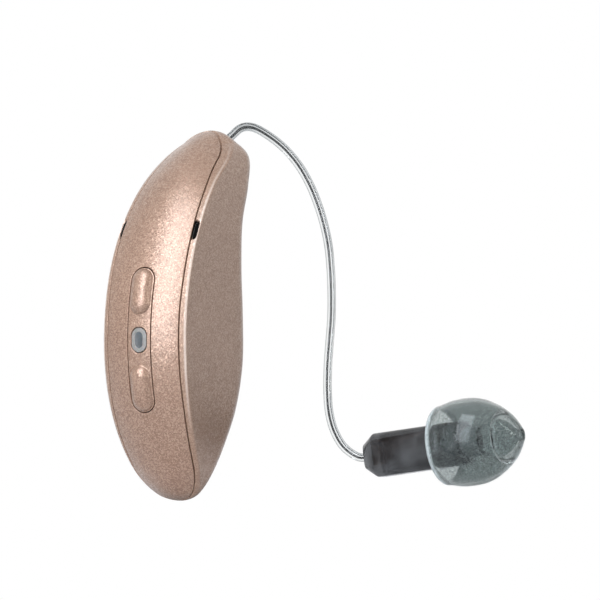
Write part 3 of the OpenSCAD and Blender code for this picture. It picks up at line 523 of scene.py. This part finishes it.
# Spine cover: the back of the body, moulded and lacquered like the housing but a shade paler. It carries the
# rocker's opening and is glued to the housing along the parting line.
HOLE_HALF, HOLE_STRAIGHT = 1.15, 5.0


def stadium_half(z, half, straight):
    """Half width of a stadium at a height: constant along the straight part, then sqrt(r^2 - distance^2)."""
    return np.sqrt(np.clip(half**2 - np.maximum(np.abs(z) - straight, 0)**2, 0, None))


# The cover runs out at the angle gone, at the head. Sections crowd towards it and round both ends of the opening.
search = np.linspace(60, 89.9, 3000)
gone = search[np.argmax(seam_y(height_of(search)) <= 0)]
hole_end = HOLE_STRAIGHT + HOLE_HALF * np.sin(np.radians(np.arange(0, 90.1, 4.5)))
hole_end = np.concatenate([hole_end, hole_end[-1] + np.array([0.015, 0.03, 0.05, 0.07, 0.1])])
cover_turns = np.unique(np.concatenate([
    np.linspace(-90, 60, 190), gone - (gone - 60) * np.linspace(1, 0, 60)**2, turn_of(hole_end), turn_of(-hole_end)]))
cover_z = height_of(cover_turns)
seam_run = run_of_y(cover_turns, seam_y(cover_z))
seam_run[-1] = 0
in_hole = np.abs(cover_z) < HOLE_STRAIGHT + HOLE_HALF - 1e-9
hole_run = run_of_y(cover_turns, np.where(in_hole, stadium_half(cover_z, HOLE_HALF, HOLE_STRAIGHT), 0))
run_per_mm = run_of_y(cover_turns, 1.0)
inset = np.array([0, 0.15, 0.4, 0.7, 1.0, 1.3]) * EDGE_ROUND
left = hole_run[:, None] + inset * run_per_mm[:, None]
right = seam_run[:, None] - inset[::-1] * run_per_mm[:, None]
between = left[:, -1:] + (right[:, :1] - left[:, -1:]) * np.linspace(0, 1, 34)[None, 1:-1]
outer_runs = np.concatenate([left, between, right], axis=1)
even = hole_run[:, None] + (seam_run - hole_run)[:, None] * np.linspace(0, 1, outer_runs.shape[1])
tight = (right[:, 0] - left[:, -1])[:, None] < 0.02
outer_runs = np.where(tight, even, outer_runs)
y = outer_runs / run_per_mm[:, None]
from_hole = from_middle(y, cover_z[:, None], HOLE_STRAIGHT) - HOLE_HALF
from_seam = (seam_run[:, None] - outer_runs) / run_per_mm[:, None]
outer_depths = np.maximum(rounded(np.maximum(from_hole, 0), EDGE_ROUND),
                          rounded(from_seam, EDGE_ROUND) * np.clip(seam_run / 0.02, 0, 1)[:, None])
inner_runs = np.concatenate([seam_run[:, None], outer_runs[:, ::-2], hole_run[:, None]], axis=1)
runs = np.concatenate([outer_runs, inner_runs], axis=1)
depths = np.concatenate([outer_depths, np.full_like(inner_runs, WALL)], axis=1)
halves = [shell_half(cover_turns, runs, depths, side) for side in (1, -1)]
skips = np.zeros((len(cover_turns) - 1, runs.shape[1]), bool)
skips[(hole_run[:-1] < 1e-9) & (hole_run[1:] < 1e-9), -1] = True
cover_lacquer = flake_lacquer("champagne_flake_lacquer", "#7a5c4a", "#8f705c", "#a68975")
cover = grid_piece("spine_cover_lacquered", halves, cover_lacquer, "aid", capped=False, skip=skips)
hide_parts("spine_cover")


# Rocker button: one lacquered plate with two raised finger bumps, moulded in one with the ears that turn on the
# pivot pins and the pads that press the switches. A window is let into its middle.
ROCKER_HALF, ROCKER_STRAIGHT = 1.08, 5.0
BUMP_HALF, BUMP_STRAIGHT, BUMP_AT, BUMP_RISE = 0.97, 0.93, 4.08, 0.55
WINDOW_HALF, WINDOW_STRAIGHT, POCKET_DEEP = 0.79, 0.32, 0.45


def plate_grid(half, straight, thickness, edge, shape, rows, columns):
    """A stadium plate let into the crown: every point lies below the crown by edge rounding plus shape(y, z),
    measured along the spine's radius, and the underside lies one thickness down."""
    angle = np.linspace(-90, 90, rows)
    end = half * np.sin(np.radians(angle))
    z = np.where(angle > 0, straight, -straight) + end
    z = np.unique(np.concatenate([z, np.linspace(-straight, straight, rows)]))
    width = stadium_half(z, half, straight)
    across = np.sin(np.linspace(-np.pi / 2, np.pi / 2, columns))
    y = width[:, None] * across
    z = np.broadcast_to(z[:, None], y.shape)
    inside = half - from_middle(y, z, straight)
    top = rounded(np.maximum(inside, 0), edge) + shape(y, z)
    low = np.full_like(top, thickness)
    y, z = (np.concatenate([value, value[:, ::-1]], axis=1) for value in (y, z))
    depth = np.concatenate([top, low[:, ::-1]], axis=1)
    turn = turn_of(z)
    w = HALF_WIDTH * share_at("width", turn)
    x = spine_x(turn) + HALF_WIDTH * share_at("crown", turn) * (y / w)**2
    back = np.stack([ARC_X - x, 0 * x, -z], axis=-1)
    back /= np.linalg.norm(back, axis=-1, keepdims=True)
    return np.stack([x, y, z], axis=-1) + back * depth[..., None]


def rocker_shape(y, z):
    """Bumps: rise (1 - rho^2.5)^0.65 above the plate, rho being the share of the way from each bump's middle line
    to its outline. Pocket for the window: a step down inside its own stadium."""
    rho = np.clip(from_middle(y, np.abs(z) - BUMP_AT, BUMP_STRAIGHT) / BUMP_HALF, 0, 1)
    bump = BUMP_RISE * (1 - rho**2.5)**0.65
    return POCKET_DEEP * part_of(from_middle(y, z, WINDOW_STRAIGHT), WINDOW_HALF, WINDOW_HALF - 0.05) - bump


AXLE_X = -10.0
pads = [rod_grid((-11.15, 0, z), (-10.45, 0, z), 0.4) for z in (4.1, -4.1)]
ears = [rod_grid((AXLE_X, y, 0), (AXLE_X, y + 0.26, 0), 0.42) for y in (0.72, -0.98)]
rocker_plate = plate_grid(ROCKER_HALF, ROCKER_STRAIGHT, 0.6, 0.06, rocker_shape, rows=240, columns=64)
rocker_lacquer = flake_lacquer("champagne_rocker_lacquer", "#7a5c4a", "#8f705c", "#a68975")
rocker = grid_piece("rocker_plate_lacquered", [rocker_plate, *pads, *ears], rocker_lacquer, "rocker")
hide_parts("rocker_button")


# Light window: a frosted ring of clear plastic let into the rocker, with a darker light guide in its middle that
# brings the status light up to the surface.
RING_HALF, CORE_HALF = 0.72, 0.37


def ring_shape(y, z):
    """Flat, a hair below the crown, with a step down inside the stadium of the light guide."""
    return 0.03 + 0.1 * part_of(from_middle(y, z, WINDOW_STRAIGHT), CORE_HALF, CORE_HALF - 0.04)


def core_shape(y, z):
    """A shallow dish: deepest on the middle line, rising with the square of the distance from it."""
    return 0.1 - 0.04 * (from_middle(y, z, WINDOW_STRAIGHT) / CORE_HALF)**2


def frosted(name, dark, light, roughness):
    """Frosted polycarbonate: pale, slightly cloudy, with a soft shine."""
    return clouded(name, 0.35, 3.0, ((0, dark), (1, light)), {
        "Roughness": roughness, "IOR": 1.58, "Subsurface Weight": 0.15, "Subsurface Scale": 0.3 * MM})


window_ring = grid_piece("light_window_ring", [plate_grid(RING_HALF, WINDOW_STRAIGHT, 0.45, 0.06, ring_shape, 48, 48)],
                         frosted("frosted_polycarbonate", "#6b6964", "#8a8783", 0.4), "rocker", capped=False)
window_core = grid_piece("light_window_guide", [plate_grid(CORE_HALF, WINDOW_STRAIGHT, 0.5, 0.04, core_shape, 32, 24)],
                         frosted("clear_light_guide", "#34383b", "#505659", 0.35), "rocker", capped=False)
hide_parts("light_window")


# Pivot pins: two short turned pins of stainless steel, pressed into the posts of the chassis. The rocker turns on
# them.
def carried_over(finish, *names):
    """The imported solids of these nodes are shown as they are, in a finish of their own."""
    for name in names:
        cad_nodes[name].material_slots[0].material = finish


def drawn_metal(name, dark, light, roughness, stretch=(1, 1, 12)):
    """Rolled, drawn or turned metal: fine streaks one way, as a noise stretched along that way."""
    finish, tree, output, coords = start_finish(name)
    pulled = add(tree, "ShaderNodeVectorMath", {0: coords, 1: tuple(1 / k for k in stretch)}, operation="MULTIPLY")
    streak = noise(tree, pulled.outputs[0], 0.25, 4.0)
    tone = toned(tree, streak, (0.3, dark), (0.7, light))
    rough = scaled(tree, streak, roughness - 0.08, roughness + 0.08)
    surface(tree, output, {"Base Color": tone, "Metallic": 1.0, "Roughness": rough})
    return finish


carried_over(drawn_metal("turned_stainless_steel", "#8f9092", "#b9babb", 0.25, (1, 12, 1)), "rocker_pins")


# Button board: glass-fibre epoxy laminate under green solder mask, with two tin-plated dome switches, a white
# light-emitting diode under the window, and a black silicone membrane that keeps sweat out.
def laminate(name, dark, light):
    """Solder mask over woven glass: the 0.4 mm weave shows through as a faint check."""
    finish, tree, output, coords = start_finish(name)
    weave = add(tree, "ShaderNodeTexChecker", {
        "Vector": coords, "Scale": 1 / (0.4 * MM), "Color1": linear(dark), "Color2": linear(light)})
    rough = scaled(tree, noise(tree, coords, 0.8, 3.0), 0.25, 0.45)
    surface(tree, output, {"Base Color": weave.outputs["Color"], "Roughness": rough, "Coat Weight": 0.4})
    return finish


def moulded(name, dark, light, roughness, grit=0.25):
    """Moulded plastic, rubber or resin: even colour with a faint cloud, and a fine spark-eroded grain."""
    finish, tree, output, coords = start_finish(name)
    tone = toned(tree, noise(tree, coords, 1.2, 4.0), (0, dark), (1, light))
    grain = noise(tree, coords, grit, 2.0)
    bump = add(tree, "ShaderNodeBump", {"Height": grain, "Strength": 0.15, "Distance": 0.02 * MM})
    surface(tree, output, {"Base Color": tone, "Roughness": roughness, "Normal": bump.outputs[0]})
    return finish


carried_over(laminate("button_board_laminate", "#1d4a2f", "#24573a"), "button_board")
carried_over(drawn_metal("tin_plated_switch_dome", "#a9a9a6", "#cfcfcb", 0.35), "upper_switch", "lower_switch")
carried_over(moulded("black_silicone_membrane", "#161617", "#242425", 0.6), "switch_membrane")
carried_over(moulded("white_diode_resin", "#d8d8d2", "#eeeeea", 0.3), "status_light")


# Chassis: one black moulding of glass-filled polyamide. Every inner piece is clipped or glued to it, and its posts
# hold the pivot pins.
carried_over(moulded("glass_filled_polyamide", "#1c1c1d", "#2c2c2e", 0.5, 0.12), "chassis")


# Battery: a rechargeable coin cell in a nickel-plated steel can, with two spot-welded nickel tabs that lead to the
# main board.
carried_over(drawn_metal("nickel_plated_can", "#9b9b98", "#c6c5c1", 0.28, (1, 14, 1)), "battery_cell")
carried_over(drawn_metal("rolled_nickel_strip", "#a3a19b", "#c4c2bb", 0.32), "battery_tabs")


# Charging coil: a flat spiral of self-bonding enamelled copper wire, glued beside the cell. It takes in the power
# through the housing.
def wound_copper(name, centre):
    """Enamelled wire in a flat spiral, drawn coarser than it is: a sine of the distance from the coil's axis over
    0.12 mm, so with rings 0.75 mm apart. The wave texture multiplies the distance by 20 itself."""
    finish, tree, output, coords = start_finish(name)
    from_axis = add(tree, "ShaderNodeVectorMath", {0: coords, 1: tuple(k * MM for k in centre)}, operation="SUBTRACT")
    turns = add(tree, "ShaderNodeTexWave", {"Vector": from_axis.outputs[0], "Scale": 1 / (0.12 * MM) / 20},
                wave_type="RINGS", rings_direction="Y")
    tone = toned(tree, turns.outputs["Fac"], (0, "#5d2c12"), (1, "#c0703c"))
    bump = add(tree, "ShaderNodeBump", {"Height": turns.outputs["Fac"], "Strength": 0.4, "Distance": 0.03 * MM})
    surface(tree, output, {
        "Base Color": tone, "Metallic": 1.0, "Roughness": 0.3, "Normal": bump.outputs[0], "Coat Weight": 0.5})
    return finish


carried_over(wound_copper("enamelled_copper_coil", (-4.95, -2.8, -4.3)), "charging_coil")


# Main board: a green laminate that carries the processor, the radio and the power chip, each in black moulded
# epoxy, and the antenna, a strip of etched copper under clear film.
carried_over(laminate("main_board_laminate", "#1b452c", "#225237"), "main_board")
carried_over(moulded("black_moulded_epoxy", "#1a1a1b", "#28282a", 0.55, 0.1),
             "processor_chip", "radio_chip", "power_chip")
carried_over(drawn_metal("etched_antenna_copper", "#a8602f", "#cf8650", 0.3), "antenna_strip")


# Microphones: two deep-drawn metal cans near the slots, each in a black rubber boot that seals its port and keeps
# it from rattling.
carried_over(drawn_metal("gold_flashed_microphone_can", "#a98f55", "#cdb47a", 0.3),
             "lower_microphone", "upper_microphone")
carried_over(moulded("black_rubber_boot", "#171717", "#232323", 0.65), "lower_boot", "upper_boot")


# Receiver socket: a black liquid-crystal-polymer block in the head, with gold-plated spring contacts that grip the
# lead's plug.
carried_over(moulded("liquid_crystal_polymer", "#1b1b1c", "#29292b", 0.45, 0.15), "receiver_socket")
carried_over(drawn_metal("gold_plated_bronze", "#b98b34", "#e0b75c", 0.25), "socket_contacts")


# Inlet screens: a strip of fine black woven mesh at the bottom of each microphone slot, glued in from inside, that
# keeps out dust and sweat.
SCREEN_HALF, SCREEN_WIDE, SCREEN_TOP, SCREEN_BOTTOM = 0.72, 0.75, 0.48, 0.6


def screen_strip(side):
    """A strip along the parting line: skin points at two depths, from 0.3 mm behind the line forwards."""
    z = np.linspace(SLOT_Z - SCREEN_HALF, SLOT_Z + SCREEN_HALF, 40)
    turn = turn_of(z)
    begin = run_of_y(turn, seam_y(z) - 0.3)[:, None]
    across = np.linspace(0, SCREEN_WIDE, 12) * run_of_y(turn, 1.0)[:, None]
    runs = np.concatenate([begin + across, begin + across[:, ::-1]], axis=1)
    depths = np.concatenate([np.full_like(across, SCREEN_TOP), np.full_like(across, SCREEN_BOTTOM)], axis=1)
    return shell_half(turn, runs, depths, side)


# Woven polyester mesh, threads 0.06 mm apart: black, dull, with a faint weave.
screen_mesh, tree, output, coords = start_finish("woven_polyester_mesh")
weave = add(tree, "ShaderNodeTexChecker", {
    "Vector": coords, "Scale": 1 / (0.06 * MM), "Color1": linear("#020202"), "Color2": linear("#0d0c0c")})
surface(tree, output, {"Base Color": weave.outputs["Color"], "Roughness": 0.9, "Specular IOR Level": 0.1})
screens = grid_piece("inlet_screen_strips", [screen_strip(1), screen_strip(-1)], screen_mesh, "aid")
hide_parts("inlet_screens")


# Lead plug: a dark grey moulded collar and pin on the lead's end. The pin goes through the hole in the head into
# the receiver socket.
def turned_about(origin, way, across, profile, sides=72):
    """Rings of a profile of (distance along the axis, radius), turned about the axis through origin along way.
    The unit vector across, square to it, points at each ring's first corner."""
    profile = np.array(profile, float)
    a = np.linspace(0, 2 * np.pi, sides, endpoint=False)[None, :, None]
    ring = np.cos(a) * across + np.sin(a) * np.cross(way, across)
    return origin + profile[:, :1, None] * way + profile[:, 1:, None] * ring


collar = grid_piece("lead_plug_collar", [turned_about(collar_end, exit_way, np.cross(exit_way, [0, 1, 0]), [
    (-4.3, 0.2), (-4.3, 0.36), (-4.25, 0.41), (-1.35, 0.42), (-1.3, 0.46), (-1.3, 0.66), (-1.26, 0.71), (-1.2, 0.72),
    (-0.42, 0.72), (-0.34, 0.71), (-0.28, 0.67), (-0.06, 0.5), (-0.01, 0.46), (0, 0.42), (0, 0.2)])],
    moulded("dark_grey_polyamide", "#37393b", "#4a4c4e", 0.35), "lead")
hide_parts("lead_plug")


# Receiver case: a smoke-grey translucent moulding, bevelled along its edges and drawn in at the back, where the
# lead is moulded in. It holds the steel-canned driver.
CASE_LENGTH, CASE_HEIGHT, CASE_WIDTH, CASE_BEVEL, CASE_TAPER = 9.4, 3.7, 3.0, 0.6, 1.3
case_side = np.cross(case_way, [0, 0, 1])
case_side /= np.linalg.norm(case_side)
case_up = np.cross(case_side, case_way)
case_up *= np.sign(case_up[2])


def octagon_rings(stations, softness=0.35, steps=6):
    """Rings of a bevelled box: at each station (along, half height, half width, bevel) an octagon whose corners
    are quadratic Beziers, joined along the case's own axes from its back."""
    stations = np.array(stations, float)
    along, h, w, b = (stations[:, k, None] for k in range(4))
    corner = np.stack([
        np.concatenate([h, h, h - b, b - h, -h, -h, b - h, h - b], axis=1),
        np.concatenate([b - w, w - b, w, w, w - b, b - w, -w, -w], axis=1)], axis=-1)
    before, after = np.roll(corner, 1, axis=1), np.roll(corner, -1, axis=1)
    def trimmed(other):
        gap = other - corner
        size = np.linalg.norm(gap, axis=-1, keepdims=True)
        return corner + gap * np.minimum(softness / np.maximum(size, 1e-9), 0.48)
    t = np.linspace(0, 1, steps)[None, None, :, None]
    ring = (trimmed(before)[:, :, None] * (1 - t)**2 + 2 * corner[:, :, None] * t * (1 - t)
            + trimmed(after)[:, :, None] * t**2).reshape(len(stations), -1, 2)
    return case_back + along[..., None] * case_way + ring[..., :1] * case_up + ring[..., 1:] * case_side


H, W, B = CASE_HEIGHT / 2, CASE_WIDTH / 2, CASE_BEVEL
outer_stations = [
    (0.14, H - 0.84, W - 0.78, B / 2), (0.19, H - 0.76, W - 0.7, B / 2), (CASE_TAPER - 0.12, H - 0.06, W - 0.06, B),
    (CASE_TAPER, H - 0.01, W - 0.01, B), (CASE_TAPER + 0.15, H, W, B), (5, H, W, B), (CASE_LENGTH - 0.15, H, W, B),
    (CASE_LENGTH - 0.04, H - 0.04, W - 0.04, B), (CASE_LENGTH, H - 0.14, W - 0.14, B)]
CASE_WALL, INNER_BEVEL = 0.35, 0.25
inner_stations = [(along, H - CASE_WALL, W - CASE_WALL, INNER_BEVEL)
                  for along in (CASE_TAPER + 0.7, 5, CASE_LENGTH - 0.7)]

# Injection-moulded copolyester: smoke grey and glossy, darker and clearer in slow clouds.
case_smoke = clouded("smoke_grey_copolyester", 1.6, 3.0, ((0.35, "#2a2a2b"), (0.7, "#656668")), {
    "Roughness": 0.12, "IOR": 1.5, "Transmission Weight": 0.7})
case = grid_piece("receiver_case_smoke", [octagon_rings(outer_stations), octagon_rings(inner_stations)[:, ::-1]],
                  case_smoke, "lead")
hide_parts("receiver_case")


# Receiver driver: the balanced-armature unit inside the case, in a deep-drawn nickel-iron can that shows faintly
# through the smoke grey.
carried_over(drawn_metal("drawn_nickel_iron", "#8e8f90", "#c3c4c4", 0.3, (1, 10, 1)), "receiver_driver")


# Receiver spout: the smoke-grey tube that the sound leaves by, moulded on the case's front. Two ribs with a
# groove between them hold the dome.
spout_tip = CASE_LENGTH + 1.5
spout = grid_piece("receiver_spout_tube", [turned_about(case_back, case_way, case_up, [
    (CASE_LENGTH - 0.05, 0.6), (CASE_LENGTH - 0.05, 1.0), (CASE_LENGTH + 0.7, 1.0), (CASE_LENGTH + 0.75, 0.93),
    (CASE_LENGTH + 0.95, 0.93), (CASE_LENGTH + 1.0, 1.0), (spout_tip - 0.08, 1.0), (spout_tip - 0.02, 0.97),
    (spout_tip, 0.9), (spout_tip, 0.66), (spout_tip - 0.04, 0.6), (CASE_LENGTH - 0.05, 0.6)])],
    moulded("smoke_grey_spout", "#9b9d9e", "#b3b5b6", 0.25), "lead", capped=False)
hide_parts("receiver_spout")


# Wax guard: a small black insert that a stick pulls out of the spout. Its rim rests on the spout's end, and its
# bore lets the sound through. Its near-black colour is partly painted shade, standing for the shade inside the
# spout's opening.
guard = grid_piece("wax_guard_insert", [turned_about(case_back, case_way, case_up, [
    (spout_tip - 0.9, 0.42), (spout_tip - 0.9, 0.52), (spout_tip - 0.85, 0.57), (spout_tip - 0.01, 0.57),
    (spout_tip, 0.6), (spout_tip, 0.72), (spout_tip + 0.03, 0.75), (spout_tip + 0.11, 0.75),
    (spout_tip + 0.15, 0.71), (spout_tip + 0.15, 0.5), (spout_tip + 0.1, 0.45), (spout_tip - 0.1, 0.42),
    (spout_tip - 0.4, 0.42), (spout_tip - 0.9, 0.42)], 48)],
    moulded("guard_polypropylene", "#0e0f10", "#191a1b", 0.45), "guard", capped=False)
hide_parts("wax_guard")


# Ear dome: one soft translucent silicone moulding, an open skirt over the receiver's front and a sleeve that
# grips the spout, joined at the nose.
DOME_MIDDLE = CASE_LENGTH + 0.4
SKIRT_RIM, SLEEVE_END, SLEEVE_WIDE = -2.48, 3.15, 2.1
outer_profile = [
    (-2.3, 2.96), (-2.42, 3), (-2.48, 3.12), (-2.46, 3.25), (-2.35, 3.34), (-2, 3.4), (-1.5, 3.52), (-0.96, 3.64),
    (-0.4, 3.69), (0, 3.7), (0.5, 3.69), (1.01, 3.64), (1.5, 3.52), (2.02, 3.33), (2.5, 3.08), (3.03, 2.78),
    (3.5, 2.42), (3.99, 2), (4.4, 1.52), (4.7, 1.13), (4.95, 0.75), (5.04, 0.64), (5.05, 0.52)]
inner_profile = [
    (5.02, 0.45), (4.75, 0.46), (4.5, 0.62), (4.1, 0.98), (3.6, 1.36), (3.1, 1.6), (2.7, 1.56), (2.2, 1.28),
    (1.8, 1.08), (1.66, 1.03), (-0.1, 1.03), (-0.14, 1.06), (-0.14, 1.2), (-0.1, 1.24), (1.7, 1.24), (2.1, 1.42),
    (2.6, 1.72), (3, 1.9), (3.12, 2.02), (3.1, 2.16), (2.95, 2.38), (2.5, 2.76), (2.02, 3.03), (1.5, 3.22),
    (1.01, 3.34), (0, 3.4), (-0.96, 3.34), (-1.9, 3.1), (-2.15, 2.97)]
dome_profile = smooth_path(outer_profile + inner_profile, 240)
dome_profile = np.vstack([dome_profile, dome_profile[:1]]) + [DOME_MIDDLE, 0]

# Liquid silicone, moulded in a spark-eroded tool: translucent smoke grey, finely frosted, and milky in the bead
# round the skirt's rim, where it is thickest. The sleeve inside takes no tint of its own, as the skirt before it
# has tinted the light already.
dome_silicone, tree, output, coords = start_finish("translucent_liquid_silicone")
frost = noise(tree, coords, 0.12, 1.0)
patch = noise(tree, coords, 2.2, 1.0)
along = add(tree, "ShaderNodeVectorMath", {0: coords, 1: tuple(case_way)}, operation="DOT_PRODUCT")
rim_at = float(case_way @ case_back + DOME_MIDDLE + SKIRT_RIM) * MM
bead = scaled(tree, along.outputs["Value"], 1.0, 0.0, rim_at + 0.3 * MM, rim_at + 0.5 * MM)
grain = scaled(tree, frost, 0.0, 1.0, 0.35, 0.65)
level = maths(tree, "MULTIPLY", grain, 0.8)
level = maths(tree, "MULTIPLY_ADD", patch, 0.2, level)
level = maths(tree, "MULTIPLY_ADD", bead, 0.5, level)
tone = toned(tree, level, (0.1, "#878f8e"), (0.65, "#a7afae"), (1, "#d0d8d8"))
sleeve = add(tree, "ShaderNodeAttribute", attribute_name="clear_sleeve")
tint = add(tree, "ShaderNodeMix", {"Factor": sleeve.outputs["Fac"], 6: tone, 7: linear("#f2f6f6")}, data_type="RGBA")
clear = maths(tree, "MULTIPLY", scaled(tree, bead, 1.0, 0.5), scaled(tree, grain, 0.99, 0.88))
bump = add(tree, "ShaderNodeBump", {"Height": frost, "Strength": 0.25, "Distance": 0.02 * MM})
surface(tree, output, {
    "Base Color": tint.outputs[2], "Roughness": scaled(tree, frost, 0.02, 0.1, 0.3, 0.7), "IOR": 1.3,
    "Normal": bump.outputs[0], "Specular IOR Level": 0.2,
    "Transmission Weight": maths(tree, "MAXIMUM", clear, sleeve.outputs["Fac"])})
dome = grid_piece("ear_dome_silicone", [turned_about(case_back, case_way, case_up, dome_profile, 96)], dome_silicone,
                  "dome", capped=False)
points = points_of(dome) - case_back
reach = points @ case_way
off_axis = np.linalg.norm(points - reach[:, None] * case_way, axis=1)
write_attribute(dome, "clear_sleeve", (reach < DOME_MIDDLE + SLEEVE_END) & (off_axis < SLEEVE_WIDE))
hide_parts("ear_dome")


# Studio: a pale paper floor under a white sky, a large soft box high behind the spine, and two narrow strips: a faint
# one by the left flank and one that rakes the right. The floor looks paler through clear pieces.
world = bpy.data.worlds.new("studio_sky")
world.use_nodes = True
scene.world = world
tree = world.node_tree
tree.nodes.clear()
rays = add(tree, "ShaderNodeLightPath")
seen = maths(tree, "MAXIMUM", rays.outputs["Is Camera Ray"], rays.outputs["Is Glossy Ray"])
seen = maths(tree, "MAXIMUM", seen, rays.outputs["Is Transmission Ray"])
dim = add(tree, "ShaderNodeBackground", {"Color": (1, 1, 1, 1), "Strength": 0.17})
white = add(tree, "ShaderNodeBackground", {"Color": (1, 1, 1, 1), "Strength": 1.0})
mix = add(tree, "ShaderNodeMixShader", {0: seen, 1: dim.outputs[0], 2: white.outputs[0]})
sky = add(tree, "ShaderNodeOutputWorld")
tree.links.new(mix.outputs[0], sky.inputs["Surface"])


def soft_lamp(name, way, wide, tall, glow, colour=(1, 1, 1), distance=0.4):
    """A rectangular soft box facing the object. Its power is the glow of its face times its area times pi."""
    lamp = bpy.data.lights.new(name, "AREA")
    lamp.shape = "RECTANGLE"
    lamp.size, lamp.size_y = wide, tall
    lamp.energy = glow * wide * tall * np.pi
    lamp.color = colour
    holder = bpy.data.objects.new(name, lamp)
    way = Vector(way).normalized()
    holder.location = view_centre + way * distance
    holder.rotation_euler = way.to_track_quat("Z", "Y").to_euler()
    scene.collection.objects.link(holder)


soft_lamp("key_box", (-0.84, 0.0, 0.52), 0.25, 0.72, 6.1, (0.95, 1.0, 1.08))
soft_lamp("left_strip", (-0.527, 0.627, 0.574), 0.05, 0.2, 1.0)
soft_lamp("right_strip", (-0.02, -1.0, 0.3), 0.022, 0.5, 11.0)
FLOOR_Z = -14.2 * MM
floor_mesh = bpy.data.meshes.new("studio_floor")
floor_mesh.from_pydata([(x, y, FLOOR_Z) for x, y in ((-1, -1), (1, -1), (1, 1), (-1, 1))], [], [(0, 1, 2, 3)])
floor_finish, tree, output, coords = start_finish("white_paper_floor")
tone = toned(tree, noise(tree, coords, 2.5, 4.0), (0, "#f4f4f4"), (1, "#ffffff"))
paper = add(tree, "ShaderNodeBsdfPrincipled", {"Base Color": tone, "Roughness": 0.9})
rays = add(tree, "ShaderNodeLightPath")
pale = maths(tree, "MULTIPLY", rays.outputs["Is Transmission Ray"], 0.75)
white = add(tree, "ShaderNodeEmission", {"Color": (1, 1, 1, 1), "Strength": 1.0})
mix = add(tree, "ShaderNodeMixShader", {0: pale, 1: paper.outputs[0], 2: white.outputs[0]})
tree.links.new(mix.outputs[0], output.inputs["Surface"])
studio_floor = bpy.data.objects.new("studio_floor", floor_mesh)
studio_floor.data.materials.append(floor_finish)
scene.collection.objects.link(studio_floor)

scene.view_settings.view_transform = "Standard"
